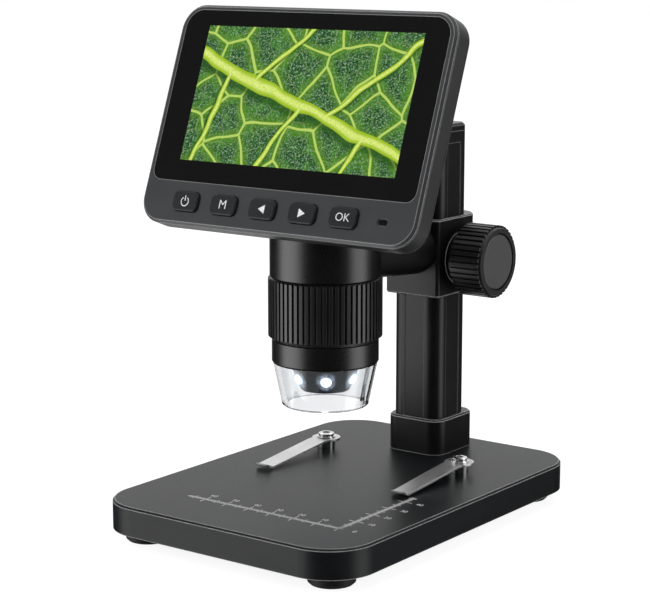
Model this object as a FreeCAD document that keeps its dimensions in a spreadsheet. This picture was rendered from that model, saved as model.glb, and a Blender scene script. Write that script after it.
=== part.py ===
import FreeCAD, Part
import os
import re
import Sketcher

# Digital microscope with its own screen, on a column stand.
# Millimetres and degrees. The origin is the centre of the footprint, on the surface it stands on.
# +X is to the right of someone who reads the screen, +Y is towards the column, +Z is up.
# The display pieces are drawn in the screen's own frame: X to the right, Y up the glass and
# Z out of the glass, from the middle of the bezel's front face. The display frame is then tilted back.

SIZES = {
    # stand
    "base_width": 111.8,
    "base_depth": 157.2,
    "base_thick": 10.9,
    "base_corner": 18.0,
    "base_edge": 0.8,
    "base_roof": 3.6,
    "cavity_rim_side": 12.0,
    "cavity_rim_end": 38.0,
    "cover_thick": 1.2,
    "cover_lap": 6.0,
    "fit_gap": 0.2,
    "thread_gap": 0.03,
    "contact_gap": 0.02,
    "foot_height": 4.8,
    "foot_radius": 8.4,
    "foot_inset": 14.5,
    "foot_recess": 3.4,
    "foot_recess_depth": 2.6,
    "foot_edge": 0.8,
    "foot_screw_radius": 1.5,
    "foot_screw_bite": 6.0,
    "cover_screw_radius": 1.25,
    "cover_screw_head": 2.4,
    "cover_screw_length": 5.0,
    # column
    "column_side": 21.6,
    "column_corner": 4.9,
    "column_inset": 21.5,
    "column_top": 145.2,
    "column_bore": 6.3,
    "panel_width": 9.0,
    "panel_depth": 0.3,
    "panel_end": 4.4,
    "cap_thick": 3.0,
    "cap_edge": 1.0,
    "cap_plug_length": 6.0,
    "cap_recess": 3.6,
    "cap_screw_radius": 1.9,
    "column_screw_radius": 1.6,
    "column_screw_head": 3.3,
    "column_screw_place": 6.5,
    "column_screw_bite": 11.0,
    "collar_side": 25.2,
    "collar_depth": 27.2,
    "collar_back": 1.3,
    "collar_corner": 5.6,
    "collar_height": 14.2,
    "collar_edge": 0.7,
    "set_screw_radius": 1.8,
    # stage clips
    "clip_side_inset": 24.5,
    "clip_end_inset": 47.6,
    "post_radius": 3.7,
    "post_height": 3.5,
    "post_stud": 1.5,
    "post_stud_length": 2.6,
    "post_floor": 0.5,
    "clip_thick": 0.8,
    "clip_head": 5.6,
    "clip_width": 7.8,
    "clip_tip_width": 7.2,
    "clip_length": 41.5,
    "clip_flat": 6.5,
    "clip_curl": 2.6,
    "clip_curl_rise": 1.5,
    "clip_tip_gap": 0.5,
    "clip_play": 0.05,
    "clip_screw_radius": 1.9,
    "clip_screw_head": 3.1,
    "clip_screw_flange": 3.7,
    "clip_screw_dome": 1.8,
    # carriage on the column
    "slide_gap": 0.1,
    "block_width": 24.6,
    "block_front": 12.9,
    "block_back": 18.0,
    "block_low": 78.8,
    "block_height": 30.4,
    "block_front_corner": 1.3,
    "block_back_corner": 9.0,
    "block_edge": 0.5,
    "arm_root": 11.0,
    "arm_tip": 8.0,
    "arm_level": 98.3,
    "arm_gap": 0.6,
    "arm_screw_radius": 1.6,
    "arm_screw_head": 3.0,
    "arm_screw_length": 12.0,
    "arm_screw_pitch": 10.0,
    "barrel_screw_side": 3.4,
    "barrel_screw_rise": 3.4,
    "barrel_screw_head": 2.6,
    "barrel_screw_sink": 0.3,
    "barrel_screw_length": 9.0,
    # clamp
    "clamp_back": 2.0,
    "clamp_level": 92.9,
    "boss_radius": 10.0,
    "boss_length": 2.2,
    "clamp_radius": 3.0,
    "running_gap": 0.05,
    "pad_length": 1.45,
    "pad_nose": 2.3,
    "pad_nose_length": 0.5,
    "flange_radius": 11.6,
    "flange_thick": 1.2,
    "flange_gap": 0.3,
    "knob_radius": 14.1,
    "knob_rib": 0.8,
    "knob_rib_count": 40,
    "knob_rib_width": 1.25,
    "knob_length": 14.2,
    "knob_edge": 0.9,
    "knob_recess": 11.1,
    "knob_recess_depth": 2.2,
    "knob_cap_gap": 0.35,
    # barrel
    "barrel_throat": 69.1,
    "barrel_radius": 20.4,
    "barrel_wall": 2.2,
    "barrel_low": 94.8,
    "barrel_top": 136.0,
    "barrel_roof": 12.0,
    "barrel_edge": 1.5,
    "ring_proud": 0.6,
    "ring_low": 71.4,
    "ring_gap": 0.3,
    "ring_rib": 0.8,
    "ring_rib_count": 60,
    "ring_rib_width": 1.3,
    "ring_edge": 1.2,
    "sleeve_inset": 3.4,
    "sleeve_wall": 2.5,
    "sleeve_flange": 1.1,
    "sleeve_flange_thick": 2.0,
    "lip_thick": 2.0,
    "nose_inset": 0.7,
    "nose_low": 62.7,
    "nose_edge": 0.6,
    "nose_step": 3.4,
    "nose_wall": 1.6,
    "shroud_inset": 0.4,
    "shroud_foot": 16.1,
    "shroud_low": 46.6,
    "shroud_wall": 2.0,
    "shroud_edge": 0.5,
    "lamp_board_thick": 1.5,
    "lamp_nose_top": 13.3,
    "lamp_nose_foot": 9.0,
    "lamp_nose_low": 52.6,
    "lamp_nose_wall": 1.2,
    "lamp_nose_hole": 5.5,
    "lamp_radius": 2.0,
    "lamp_count": 6,
    "lamp_turn": 38.0,
    "lamp_level": 57.2,
    "lamp_length": 3.6,
    "lamp_stand_out": 1.2,
    # optics
    "cell_low": 71.6,
    "cell_length": 15.6,
    "cell_gap": 0.08,
    "front_seat": 1.2,
    "front_lens_radius": 9.4,
    "front_lens_thick": 4.0,
    "front_lens_curve": 32.0,
    "retainer_thick": 2.0,
    "retainer_width": 1.4,
    "rear_lens_radius": 7.4,
    "rear_lens_thick": 3.0,
    "rear_lens_curve": 26.0,
    "rear_lens_level": 10.4,
    "lens_gap": 0.06,
    "mount_inset": 0.8,
    "mount_wall": 1.8,
    "mount_height": 10.2,
    "mount_floor": 2.5,
    "filter_radius": 6.1,
    "filter_thick": 0.5,
    "sensor_side": 8.0,
    "sensor_thick": 1.7,
    "board_thick": 1.2,
    # display
    "display_reach": 19.5,
    "display_level": 152.7,
    "display_tilt": 20.7,
    "display_width": 121.6,
    "display_height": 83.1,
    "display_corner": 9.5,
    "slab_depth": 10.5,
    "slab_round": 2.6,
    "shell_wall": 2.0,
    "bulge_side_inset": 10.8,
    "bulge_low_inset": 8.05,
    "bulge_high_inset": 11.55,
    "bulge_depth": 19.5,
    "bulge_corner": 9.0,
    "bulge_edge": 6.0,
    "bezel_thick": 1.8,
    "bezel_edge": 1.0,
    "bezel_lip": 1.0,
    "bezel_lip_depth": 1.2,
    "glass_side_inset": 2.7,
    "glass_low_inset": 16.15,
    "glass_high_inset": 2.25,
    "glass_thick": 1.0,
    "glass_corner": 7.0,
    "glass_low_corner": 4.0,
    "glass_gap": 0.1,
    "panel_offset": 0.6,
    "panel_centre": 7.9,
    "panel_long": 100.0,
    "panel_tall": 58.0,
    "panel_deep": 2.8,
    "pcb_thick": 1.2,
    "pcb_side_inset": 3.8,
    "pcb_right": 46.0,
    "pcb_low": -22.0,
    "pcb_high": 26.0,
    "pcb_gap": 0.15,
    "boss_inset": 18.8,
    "boss_low": -17.0,
    "boss_high": 22.0,
    "boss_small": 2.5,
    "cell_width": 52.0,
    "cell_floor": -10.2,
    "cell_tall": 32.0,
    "cell_deep": 6.0,
    "socket_place": 6.0,
    "socket_width": 9.2,
    "socket_high": 3.1,
    "socket_deep": 8.0,
    "card_place": -9.0,
    "card_width": 14.0,
    "card_high": 1.5,
    "card_deep": 15.0,
    "port_gap": 0.15,
    "key_row_inset": 8.55,
    "key_middle": -4.1,
    "key_pitch": 17.6,
    "key_width": 11.6,
    "key_height": 7.2,
    "key_corner": 2.1,
    "key_raise": 1.1,
    "key_edge": 0.4,
    "key_gap": 0.2,
    "key_flange": 0.8,
    "key_flange_thick": 0.7,
    "key_stem": 1.5,
    "key_stem_length": 0.8,
    "dome_gap": 0.6,
    "dome_radius": 2.6,
    "dome_height": 1.0,
    "key_board_wide": 92.0,
    "key_board_tall": 9.0,
    "window_place": 47.0,
    "window_width": 4.2,
    "window_height": 2.6,
    "window_depth": 0.5,
    "case_screw_inset": 6.8,
    "case_screw_radius": 1.0,
    "case_screw_head": 2.0,
    "case_post": 2.6,
    "case_post_split": 4.0,
    "case_post_floor": 1.35,
    "case_screw_sink": 1.4,
    "head_screw_side": 9.0,
    "head_screw_rise": -14.0,
    "head_screw_radius": 1.5,
    "head_screw_head": 2.8,
    "head_screw_grip": 10.0,
    "head_screw_bite": 6.0,
    "ribbon_width": 9.0,
    "ribbon_thick": 0.25,
    "ribbon_front": 12.06,
    "ribbon_rise": 0.24,
    "ribbon_slot_inset": 3.0,
    "ribbon_slot_width": 6.5,
    "seam_gap": 0.25,
    # small steps, edges and overlaps
    "socket_share": 0.45,
    "thread_run": 1.5,
    "column_sink": 4.0,
    "stud_run": 0.1,
    "cover_screw_short": 0.5,
    "foot_screw_tall": 1.6,
    "column_screw_tall": 3.4,
    "set_screw_short": 0.6,
    "clip_screw_rim": 0.4,
    "clip_screw_edge": 0.3,
    "clip_corner": 1.8,
    "barrel_screw_tall": 1.5,
    "head_screw_tall": 2.4,
    "barrel_screw_run": 0.6,
    "rib_root": 0.5,
    "disc_edge": 0.5,
    "disc_sink": 0.2,
    "spot_depth": 4.0,
    "ring_rib_root": 0.4,
    "lens_lip": 1.0,
    "rear_lens_lip": 0.9,
    "lamp_hole_deep": 6.0,
    "post_sink": 0.5,
    "key_boss": 1.6,
    "key_boss_inset": 2.0,
    "head_boss_wall": 1.7,
    "head_boss_short": 1.0,
    "ribbon_room": 1.0,
    "bulge_inner_step": 0.5,
    "join_over": 0.3,
    "opening_depth": 4.0,
    "board_corner": 2.0,
    "cell_corner": 2.5,
    "mouth_sink": 0.6,
    "socket_wall": 0.5,
    "card_side": 1.2,
    "card_wall": 0.3,
    "window_place_step": 6.0,
    "window_gap": 0.05,
    "window_rim": 0.8,
    "window_rim_thick": 0.9,
    "window_join": 0.5,
    "window_round": 0.45,
    "socket_side": 0.6,
    "over": 1.0,
}

# Places that follow from the sizes.
PLACES = {
    "base_top": "foot_height + base_thick",
    "base_half": "base_width / 2",
    "base_reach": "base_depth / 2",
    "foot_side": "base_half - foot_inset",
    "foot_reach": "base_reach - foot_inset",
    "cavity_half": "base_half - cavity_rim_side",
    "cavity_reach": "base_reach - cavity_rim_end",
    "cavity_top": "base_top - base_roof",
    "cover_top": "foot_height + cover_thick",
    "cover_screw_side": "cavity_half + cover_lap / 2",
    "cover_screw_reach": "cavity_reach + cover_lap / 2",
    "column_place": "base_reach - column_inset",
    "clip_place_side": "base_half - clip_side_inset",
    "clip_place_back": "base_reach - clip_end_inset",
    "column_half": "column_side / 2",
    "column_end": "column_top - cap_thick",
    "collar_centre": "column_place + collar_back",
    "post_top": "base_top + post_height",
    "clip_low": "post_height + clip_play",
    "clip_top": "clip_low + clip_thick",
    "block_half": "block_width / 2",
    "block_face": "column_place - block_front",
    "block_top": "block_low + block_height",
    "bore_face": "column_place - column_half - slide_gap",
    "clamp_place": "column_place + clamp_back",
    "boss_face": "block_half + boss_length",
    "pad_start": "column_half - panel_depth + contact_gap",
    "flange_start": "boss_face + flange_gap",
    "knob_start": "flange_start + flange_thick",
    "knob_core": "knob_radius - knob_rib",
    "barrel_place": "column_place - barrel_throat",
    "sleeve_radius": "barrel_radius - sleeve_inset",
    "ring_radius": "barrel_radius + ring_proud",
    "nose_radius": "barrel_radius - nose_inset",
    "shroud_top": "nose_radius - shroud_inset",
    "mount_radius": "sleeve_radius - mount_inset",
    "ring_core": "ring_radius - ring_rib",
    "ring_top": "barrel_low - ring_gap",
    "nose_top": "ring_low - ring_gap",
    "nose_shelf": "nose_low + nose_step",
    "nose_inside": "nose_radius - nose_wall",
    "lip_top": "barrel_low + lip_thick",
    "barrel_inside": "barrel_radius - barrel_wall",
    "sleeve_top": "lip_top + sleeve_flange_thick",
    "sleeve_bore": "sleeve_radius - sleeve_wall",
    "lamp_board_low": "nose_shelf - lamp_board_thick",
    "lamp_slope": "atan((lamp_nose_top - lamp_nose_foot) / (nose_low - lamp_nose_low))",
    "lamp_reach": "lamp_nose_foot + (lamp_level - lamp_nose_low) * tan(lamp_slope)",
    "cell_radius": "sleeve_bore - cell_gap",
    "front_lens_low": "cell_low + front_seat",
    "rear_lens_low": "cell_low + rear_lens_level",
    "mount_top": "sleeve_top + mount_height",
    "floor_low": "mount_top - mount_floor",
    "display_place": "barrel_place - display_reach",
    "display_half": "display_width / 2",
    "display_rise": "display_height / 2",
    "bulge_width": "display_width - 2 * bulge_side_inset",
    "bulge_low": "bulge_low_inset - display_rise",
    "bulge_high": "display_rise - bulge_high_inset",
    "glass_width": "display_width - 2 * glass_side_inset",
    "glass_low": "glass_low_inset - display_rise",
    "glass_high": "display_rise - glass_high_inset",
    "pcb_left": "pcb_side_inset - display_half",
    "boss_side": "display_half - boss_inset",
    "key_row": "key_row_inset - display_rise",
    "key_first": "key_middle - 2 * key_pitch",
    "case_screw_side": "display_half - case_screw_inset",
    "case_screw_rise": "display_rise - case_screw_inset",
    "slab_floor": "-(slab_depth - shell_wall)",
    "bulge_floor": "-(bulge_depth - shell_wall)",
    "glass_back": "-glass_thick",
    "panel_front": "-(glass_thick + glass_gap)",
    "panel_rear": "panel_front - panel_deep",
    "pcb_front": "panel_rear - pcb_gap",
    "pcb_rear": "pcb_front - pcb_thick",
    "key_flange_top": "-(bezel_thick + key_gap / 2)",
    "key_flange_low": "key_flange_top - key_flange_thick",
    "key_stem_low": "key_flange_low - key_stem_length",
    "dome_top": "key_stem_low - dome_gap",
    "dome_low": "dome_top - dome_height",
    "key_board_low": "dome_low - pcb_thick",
    "head_screw_seat": "-(bulge_depth + head_screw_grip)",
    "barrel_screw_seat": "barrel_place + barrel_inside - barrel_screw_sink",
    "barrel_screw_level": "arm_level + barrel_screw_rise",
    "ribbon_run": "barrel_place - ribbon_front - display_place",
    "ribbon_drop": "mount_top + board_thick + ribbon_rise - display_level",
    "ribbon_slot_low": "bulge_low + ribbon_slot_inset",
    "ribbon_slot_high": "ribbon_slot_low + ribbon_slot_width",
}

WORD = re.compile("[a-z][a-z_]*")
SHAPES = []

doc = FreeCAD.newDocument("lcd_digital_microscope")
sheet = doc.addObject("Spreadsheet::Sheet", "Sizes")
for row, (alias, value) in enumerate(SIZES.items(), start=1):
    sheet.set("A%d" % row, alias.replace("_", " "))
    sheet.set("B%d" % row, str(value))
    sheet.setAlias("B%d" % row, alias)
doc.recompute()


def spelled(text):
    """Turn the plain names of an expression into references to the sheet."""
    def swap(match):
        word = match.group(0)
        if word in SIZES:
            return "Sizes." + word
        if word in PLACES:
            return "(" + spelled(PLACES[word]) + ")"
        return word
    return WORD.sub(swap, text)


def bind(thing, **sizes):
    for name, text in sizes.items():
        thing.setExpression(name, spelled(text))


def about(centre, size):
    return "%s - (%s) / 2" % (centre, size), "%s + (%s) / 2" % (centre, size)


def put(thing, at=("0", "0", "0"), axis=None, angle="0"):
    """Bind a piece's Placement: where its own origin goes, and its turn about one axis."""
    if axis:
        thing.Placement.Rotation = FreeCAD.Rotation(FreeCAD.Vector(*axis), 10)
        bind(thing, **{"Placement.Rotation.Angle": angle})
    for name, text in zip("xyz", at):
        if text != "0":
            bind(thing, **{"Placement.Base." + name: text})
    return thing


TURNS = {
    "Z": (None, "0"),
    "X": ((0, 1, 0), "90"),
    "Y": ((1, 0, 0), "-90"),
    "-Y": ((1, 0, 0), "90"),
    "-Z": ((1, 0, 0), "180"),
}


def put_along(thing, at, along):
    axis, angle = TURNS[along]
    return put(thing, at, axis, angle)


def box(label, across, deep, high):
    """A plain box between two planes in each direction."""
    solid = doc.addObject("Part::Box", label)
    names = ("Length", "Width", "Height")
    for name, (low, top) in zip(names, (across, deep, high)):
        bind(solid, **{name: "(%s) - (%s)" % (top, low)})
    return put(solid, (across[0], deep[0], high[0]))


def rod(label, radius, length, at, along="Z"):
    solid = doc.addObject("Part::Cylinder", label)
    bind(solid, Radius=radius, Height=length)
    return put_along(solid, at, along)


def cone(label, start_radius, end_radius, length, at, along="Z"):
    solid = doc.addObject("Part::Cone", label)
    bind(solid, Radius1=start_radius, Radius2=end_radius, Height=length)
    return put_along(solid, at, along)


def cut(label, base, tools):
    result = doc.addObject("Part::Cut", label)
    result.Base = base
    result.Tool = tools[0] if len(tools) == 1 else fuse(label + "_tools", tools)
    return result


def fuse(label, solids):
    result = doc.addObject("Part::MultiFuse", label)
    result.Shapes = solids
    return result


def shared(label, solids):
    result = doc.addObject("Part::MultiCommon", label)
    result.Shapes = solids
    return result


def group(label, solids):
    result = doc.addObject("Part::Compound", label)
    result.Links = solids
    return result


def closed_sketch(body, role, points, lift="0"):
    """A closed outline on one of the body's origin planes, each corner held by its two distances."""
    sketch = body.newObject("Sketcher::SketchObject", body.Name + "_sketch")
    plane = [item for item in body.Origin.OriginFeatures if item.Role == role][0]
    sketch.AttachmentSupport = [(plane, "")]
    sketch.MapMode = "FlatFace"
    if lift != "0":
        bind(sketch, **{"AttachmentOffset.Base.z": lift})
    count = len(points)
    corners = [FreeCAD.Vector(10 + 3 * step, 5 + (step * step) % 7, 0) for step in range(count)]
    for step in range(count):
        line = Part.LineSegment(corners[step], corners[(step + 1) % count])
        sketch.addGeometry(line, False)
    for step in range(count):
        sketch.addConstraint(Sketcher.Constraint("Coincident", step, 2, (step + 1) % count, 1))
    for step, corner in enumerate(points):
        for kind, own_axis, text in zip(("DistanceX", "DistanceY"), (-2, -1), corner):
            if text == "0":
                sketch.addConstraint(Sketcher.Constraint("PointOnObject", step, 1, own_axis))
                continue
            index = sketch.addConstraint(Sketcher.Constraint(kind, -1, 1, step, 1, 1.0))
            bind(sketch, **{"Constraints[%d]" % index: text})
    return sketch


def pad(body, sketch, length):
    feature = body.newObject("PartDesign::Pad", body.Name + "_pad")
    feature.Profile = sketch
    bind(feature, Length=length)
    sketch.Visibility = False
    doc.recompute()
    return feature


def dress(body, kind, base, wanted, size):
    """A fillet or chamfer on the edges of the last feature that the test picks."""
    names = ["Edge%d" % (index + 1) for index, edge in enumerate(base.Shape.Edges) if wanted(edge)]
    feature = body.newObject("PartDesign::" + kind, body.Name + "_" + kind.lower())
    feature.Base = (base, names)
    bind(feature, **{"Radius" if kind == "Fillet" else "Size": size})
    doc.recompute()
    return feature


def upright(edge):
    box_of_edge = edge.BoundBox
    return box_of_edge.ZLength > 10 * max(box_of_edge.XLength, box_of_edge.YLength)


def prism(label, across, deep, high, corner=None, back_corner=None, top_edge=None, low_edge=None,
          low_round=None):
    """A slab with rounded upright corners; the corners at high Y may have their own radius."""
    body = doc.addObject("PartDesign::Body", label)
    corners = [(across[0], deep[0]), (across[1], deep[0]), (across[1], deep[1]), (across[0], deep[1])]
    sketch = closed_sketch(body, "XY_Plane", corners, high[0])
    last = pad(body, sketch, "(%s) - (%s)" % (high[1], high[0]))
    middle = last.Shape.BoundBox.Center.y
    if corner:
        front = lambda edge: upright(edge) and (back_corner is None or edge.CenterOfMass.y < middle)
        last = dress(body, "Fillet", last, front, corner)
    if back_corner:
        limit = last.Shape.BoundBox.YMax - 1e-6
        back = lambda edge: upright(edge) and edge.CenterOfMass.y > limit
        last = dress(body, "Fillet", last, back, back_corner)
    limits = last.Shape.BoundBox
    at_top = lambda edge: abs(edge.BoundBox.ZMin - limits.ZMax) < 1e-6
    at_low = lambda edge: abs(edge.BoundBox.ZMax - limits.ZMin) < 1e-6
    if top_edge:
        last = dress(body, "Chamfer", last, at_top, top_edge)
    if low_edge:
        last = dress(body, "Chamfer", last, at_low, low_edge)
    if low_round:
        last = dress(body, "Fillet", last, at_low, low_round)
    return body


def turned(label, points):
    """A body turned about its own Z axis from a closed outline of radius and height."""
    body = doc.addObject("PartDesign::Body", label)
    sketch = closed_sketch(body, "XZ_Plane", points)
    feature = body.newObject("PartDesign::Revolution", label + "_turn")
    feature.Profile = sketch
    feature.ReferenceAxis = (sketch, ["V_Axis"])
    feature.Angle = 360
    sketch.Visibility = False
    doc.recompute()
    return body


def ribbed(label, points, rib_from, rib_to, rib_width, rib_low, rib_high, count):
    """A turned body with straight ribs spaced evenly round it."""
    body = turned(label, points)
    half = "%s / 2" % rib_width
    corners = [(rib_from, "-" + half), (rib_to, "-" + half), (rib_to, half), (rib_from, half)]
    sketch = closed_sketch(body, "XY_Plane", corners, rib_low)
    rib = pad(body, sketch, "(%s) - (%s)" % (rib_high, rib_low))
    pattern = body.newObject("PartDesign::PolarPattern", label + "_ribs")
    pattern.Originals = [rib]
    axis = [item for item in body.Origin.OriginFeatures if item.Role == "Z_Axis"][0]
    pattern.Axis = (axis, [""])
    pattern.Angle = 360
    bind(pattern, Occurrences=count)
    body.Tip = pattern
    doc.recompute()
    return body


def washer_profile(inside, outside, low, high):
    return [(inside, low), (outside, low), (outside, high), (inside, high)]


def flat_screw(label, radius, head, length, at, along):
    """A countersunk screw: its head's top is at the place given, and it points along the axis."""
    depth = "(%s) - (%s)" % (head, radius)
    points = [("0", "0"), (head, "0"), (radius, depth), (radius, length), ("0", length)]
    return put_along(turned(label, points), at, along)


def cap_screw(label, radius, head, tall, length, at, along):
    """A socket head screw: the seat of its head is at the place given, and it points along the axis."""
    socket = "(%s) * socket_share" % head
    points = [("0", "-(%s) / 2" % tall), (socket, "-(%s) / 2" % tall), (socket, "-(%s)" % tall),
              (head, "-(%s)" % tall), (head, "0"), (radius, "0"), (radius, length), ("0", length)]
    return put_along(turned(label, points), at, along)


def keep(solid, name):
    solid.Label = name
    SHAPES.append(solid)
    return solid


def on_display(solid):
    return put(solid, ("0", "display_place", "display_level"), (1, 0, 0), "90 - display_tilt")


def on_barrel(solid):
    return put(solid, ("0", "barrel_place", "0"))


def minus(text):
    return "-(%s)" % text


def signed(side, reach):
    """The four places at plus and minus two distances."""
    return [(sx, sy) for sx in (side, minus(side)) for sy in (reach, minus(reach))]


def make_base():
    full = prism("base_outer", (minus("base_half"), "base_half"), (minus("base_reach"), "base_reach"),
                 ("foot_height", "base_top"), corner="base_corner", top_edge="base_edge")
    cavity = box("base_cavity", (minus("cavity_half"), "cavity_half"),
                 (minus("cavity_reach"), "cavity_reach"), ("foot_height - over", "cavity_top"))
    recess = box("base_recess", about("0", "2 * (cavity_half + cover_lap)"),
                 about("0", "2 * (cavity_reach + cover_lap)"), ("foot_height - over", "cover_top"))
    tools = [cavity, recess]
    for x, y in signed("foot_side", "foot_reach"):
        tools.append(rod("base_foot_hole", "foot_screw_radius + thread_gap",
                         "foot_screw_bite + thread_run", (x, y, "foot_height - over")))
    for x, y in signed("cover_screw_side", "cover_screw_reach"):
        tools.append(rod("base_cover_hole", "cover_screw_radius + thread_gap",
                         "cover_screw_length", (x, y, "foot_height")))
    for x, y in signed("column_screw_place", "column_screw_place"):
        place = (x, "column_place + (%s)" % y, "foot_height - over")
        tools.append(rod("base_column_hole", "column_screw_radius + fit_gap", "base_thick + 2 * over",
                         place))
        tools.append(rod("base_column_sink", "column_screw_head + fit_gap",
                         "column_sink + over", place))
    for x in ("clip_place_side", minus("clip_place_side")):
        tools.append(rod("base_stud_hole", "post_stud + thread_gap", "post_stud_length + stud_run + over",
                         (x, "clip_place_back", "base_top - post_stud_length - stud_run")))
    keep(cut("base_plate_body", full, tools), "base_plate")

    keep(box("base_weight_body", about("0", "2 * (cavity_half - fit_gap)"),
             about("0", "2 * (cavity_reach - fit_gap)"), ("cover_top", "cavity_top - fit_gap")),
         "base_weight")

    plate = box("cover_plate", about("0", "2 * (cavity_half + cover_lap - fit_gap)"),
                about("0", "2 * (cavity_reach + cover_lap - fit_gap)"), ("foot_height", "cover_top"))
    sinks = []
    screws = []
    for x, y in signed("cover_screw_side", "cover_screw_reach"):
        place = (x, y, "foot_height")
        sinks.append(flat_screw("cover_sink", "cover_screw_radius + thread_gap",
                                "cover_screw_head + thread_gap", "cover_screw_length", place, "Z"))
        screws.append(flat_screw("cover_screw", "cover_screw_radius", "cover_screw_head",
                                 "cover_screw_length - cover_screw_short", place, "Z"))
    keep(cut("cover_body", plate, sinks), "bottom_cover")
    keep(group("cover_screw_set", screws), "cover_screws")


def make_feet():
    feet = []
    screws = []
    outline = [("foot_recess", "0"), ("foot_radius - foot_edge", "0"), ("foot_radius", "foot_edge"),
               ("foot_radius", "foot_height"), ("foot_screw_radius + fit_gap", "foot_height"),
               ("foot_screw_radius + fit_gap", "foot_recess_depth"), ("foot_recess", "foot_recess_depth")]
    for x, y in signed("foot_side", "foot_reach"):
        feet.append(put(turned("foot", outline), (x, y, "0")))
        screws.append(cap_screw("foot_screw", "foot_screw_radius", "foot_recess - 2 * fit_gap",
                                "foot_screw_tall",
                                "foot_height - foot_recess_depth + foot_screw_bite",
                                (x, y, "foot_recess_depth"), "Z"))
    keep(group("foot_set", feet), "rubber_feet")
    keep(group("foot_screw_set", screws), "foot_screws")


def column_outline(label, gap, high, top_edge=None):
    side = "column_side + 2 * (%s)" % gap
    return prism(label, about("0", side), about("column_place", side), high,
                 corner="column_corner + (%s)" % gap, top_edge=top_edge)


def make_column():
    full = column_outline("column_full", "0", ("base_top", "column_end"))
    tools = [rod("column_bore_tool", "column_bore", "column_top", ("0", "column_place", "0"))]
    panel_high = ("base_top - over", "column_end - panel_end")
    flat = about("0", "panel_width")
    inner = "column_half - panel_depth"
    tools.append(box("panel_right", (inner, "column_half + over"), about("column_place", "panel_width"),
                     panel_high))
    tools.append(box("panel_left", (minus("column_half + over"), minus(inner)),
                     about("column_place", "panel_width"), panel_high))
    tools.append(box("panel_front", flat, ("column_place - column_half - over",
                                           "column_place - (%s)" % inner),
                     panel_high))
    tools.append(box("panel_back", flat, ("column_place + %s" % inner, "column_place + column_half + over"),
                     panel_high))
    screws = []
    for x, y in signed("column_screw_place", "column_screw_place"):
        y = "column_place + (%s)" % y
        tools.append(rod("column_thread", "column_screw_radius + thread_gap", "column_screw_bite + 2 * over",
                         (x, y, "base_top - over")))
        screws.append(cap_screw("column_screw", "column_screw_radius", "column_screw_head",
                                "column_screw_tall",
                                "base_thick - column_sink + column_screw_bite",
                                (x, y, "foot_height + column_sink"), "Z"))
    keep(cut("column_body", full, tools), "column")
    keep(group("column_screw_set", screws), "column_screws")

    lid = column_outline("cap_lid", "0", ("column_end", "column_top"), top_edge="cap_edge")
    plug = rod("cap_plug", "column_bore - thread_gap", "cap_plug_length + over",
               ("0", "column_place", "column_end - cap_plug_length"))
    hollow = rod("cap_hollow", "cap_recess", "cap_thick", ("0", "column_place",
                                                           "column_top - cap_thick / 2"))
    thread = rod("cap_thread", "cap_screw_radius + thread_gap", "column_top",
                 ("0", "column_place", "column_end - cap_plug_length - over"))
    keep(cut("cap_body", fuse("cap_solid", [lid, plug]), [hollow, thread]), "column_cap")
    keep(cap_screw("cap_screw_body", "cap_screw_radius", "cap_recess - fit_gap", "cap_thick / 2 - fit_gap",
                   "cap_plug_length", ("0", "column_place", "column_top - cap_thick / 2"), "-Z"),
         "cap_screw")


def make_collar():
    full = prism("collar_full", about("0", "collar_side"), about("collar_centre", "collar_depth"),
                 ("base_top", "base_top + collar_height"), corner="collar_corner", top_edge="collar_edge")
    bore = column_outline("collar_bore", "running_gap", ("base_top - over",
                                                         "base_top + collar_height + over"))
    level = "base_top + collar_height / 2"
    start = "column_place + pad_start"
    reach = "collar_centre + collar_depth / 2 - (%s)" % start
    hole = rod("collar_thread", "set_screw_radius + thread_gap", reach + " + over", ("0", start, level), "Y")
    keep(cut("collar_body", full, [bore, hole]), "column_collar")
    keep(rod("collar_screw", "set_screw_radius", reach + " - set_screw_short", ("0", start, level), "Y"),
         "collar_set_screw")


def make_clips():
    posts = []
    screws = []
    bore = "clip_screw_radius + thread_gap"
    post = [(bore, "post_floor"), (bore, "post_height"), ("post_radius", "post_height"),
            ("post_radius", "0"), ("post_stud", "0"), ("post_stud", "-post_stud_length"),
            ("0", "-post_stud_length"), ("0", "post_floor")]
    under = "clip_top + clip_play"
    foot = "post_floor + contact_gap"
    screw = [("0", foot), ("clip_screw_radius", foot), ("clip_screw_radius", under),
             ("clip_screw_flange", under), ("clip_screw_flange", under + " + clip_screw_rim"),
             ("clip_screw_head", under + " + clip_screw_rim"),
             ("clip_screw_head", under + " + clip_screw_dome - clip_screw_edge"),
             ("clip_screw_head - 2 * clip_screw_edge", under + " + clip_screw_dome"),
             ("clip_screw_head / 2", under + " + clip_screw_dome"),
             ("clip_screw_head / 2", under + " + clip_screw_edge"), ("0", under + " + clip_screw_edge")]
    for name, x in (("left_clip", minus("clip_place_side")), ("right_clip", "clip_place_side")):
        place = (x, "clip_place_back", "base_top")
        posts.append(put(turned("post", post), place))
        screws.append(put(turned("clip_screw", screw), place))
        keep(put(make_clip(name), place), name)
    keep(group("post_set", posts), "clip_posts")
    keep(group("clip_screw_set", screws), "clip_screws")


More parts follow.
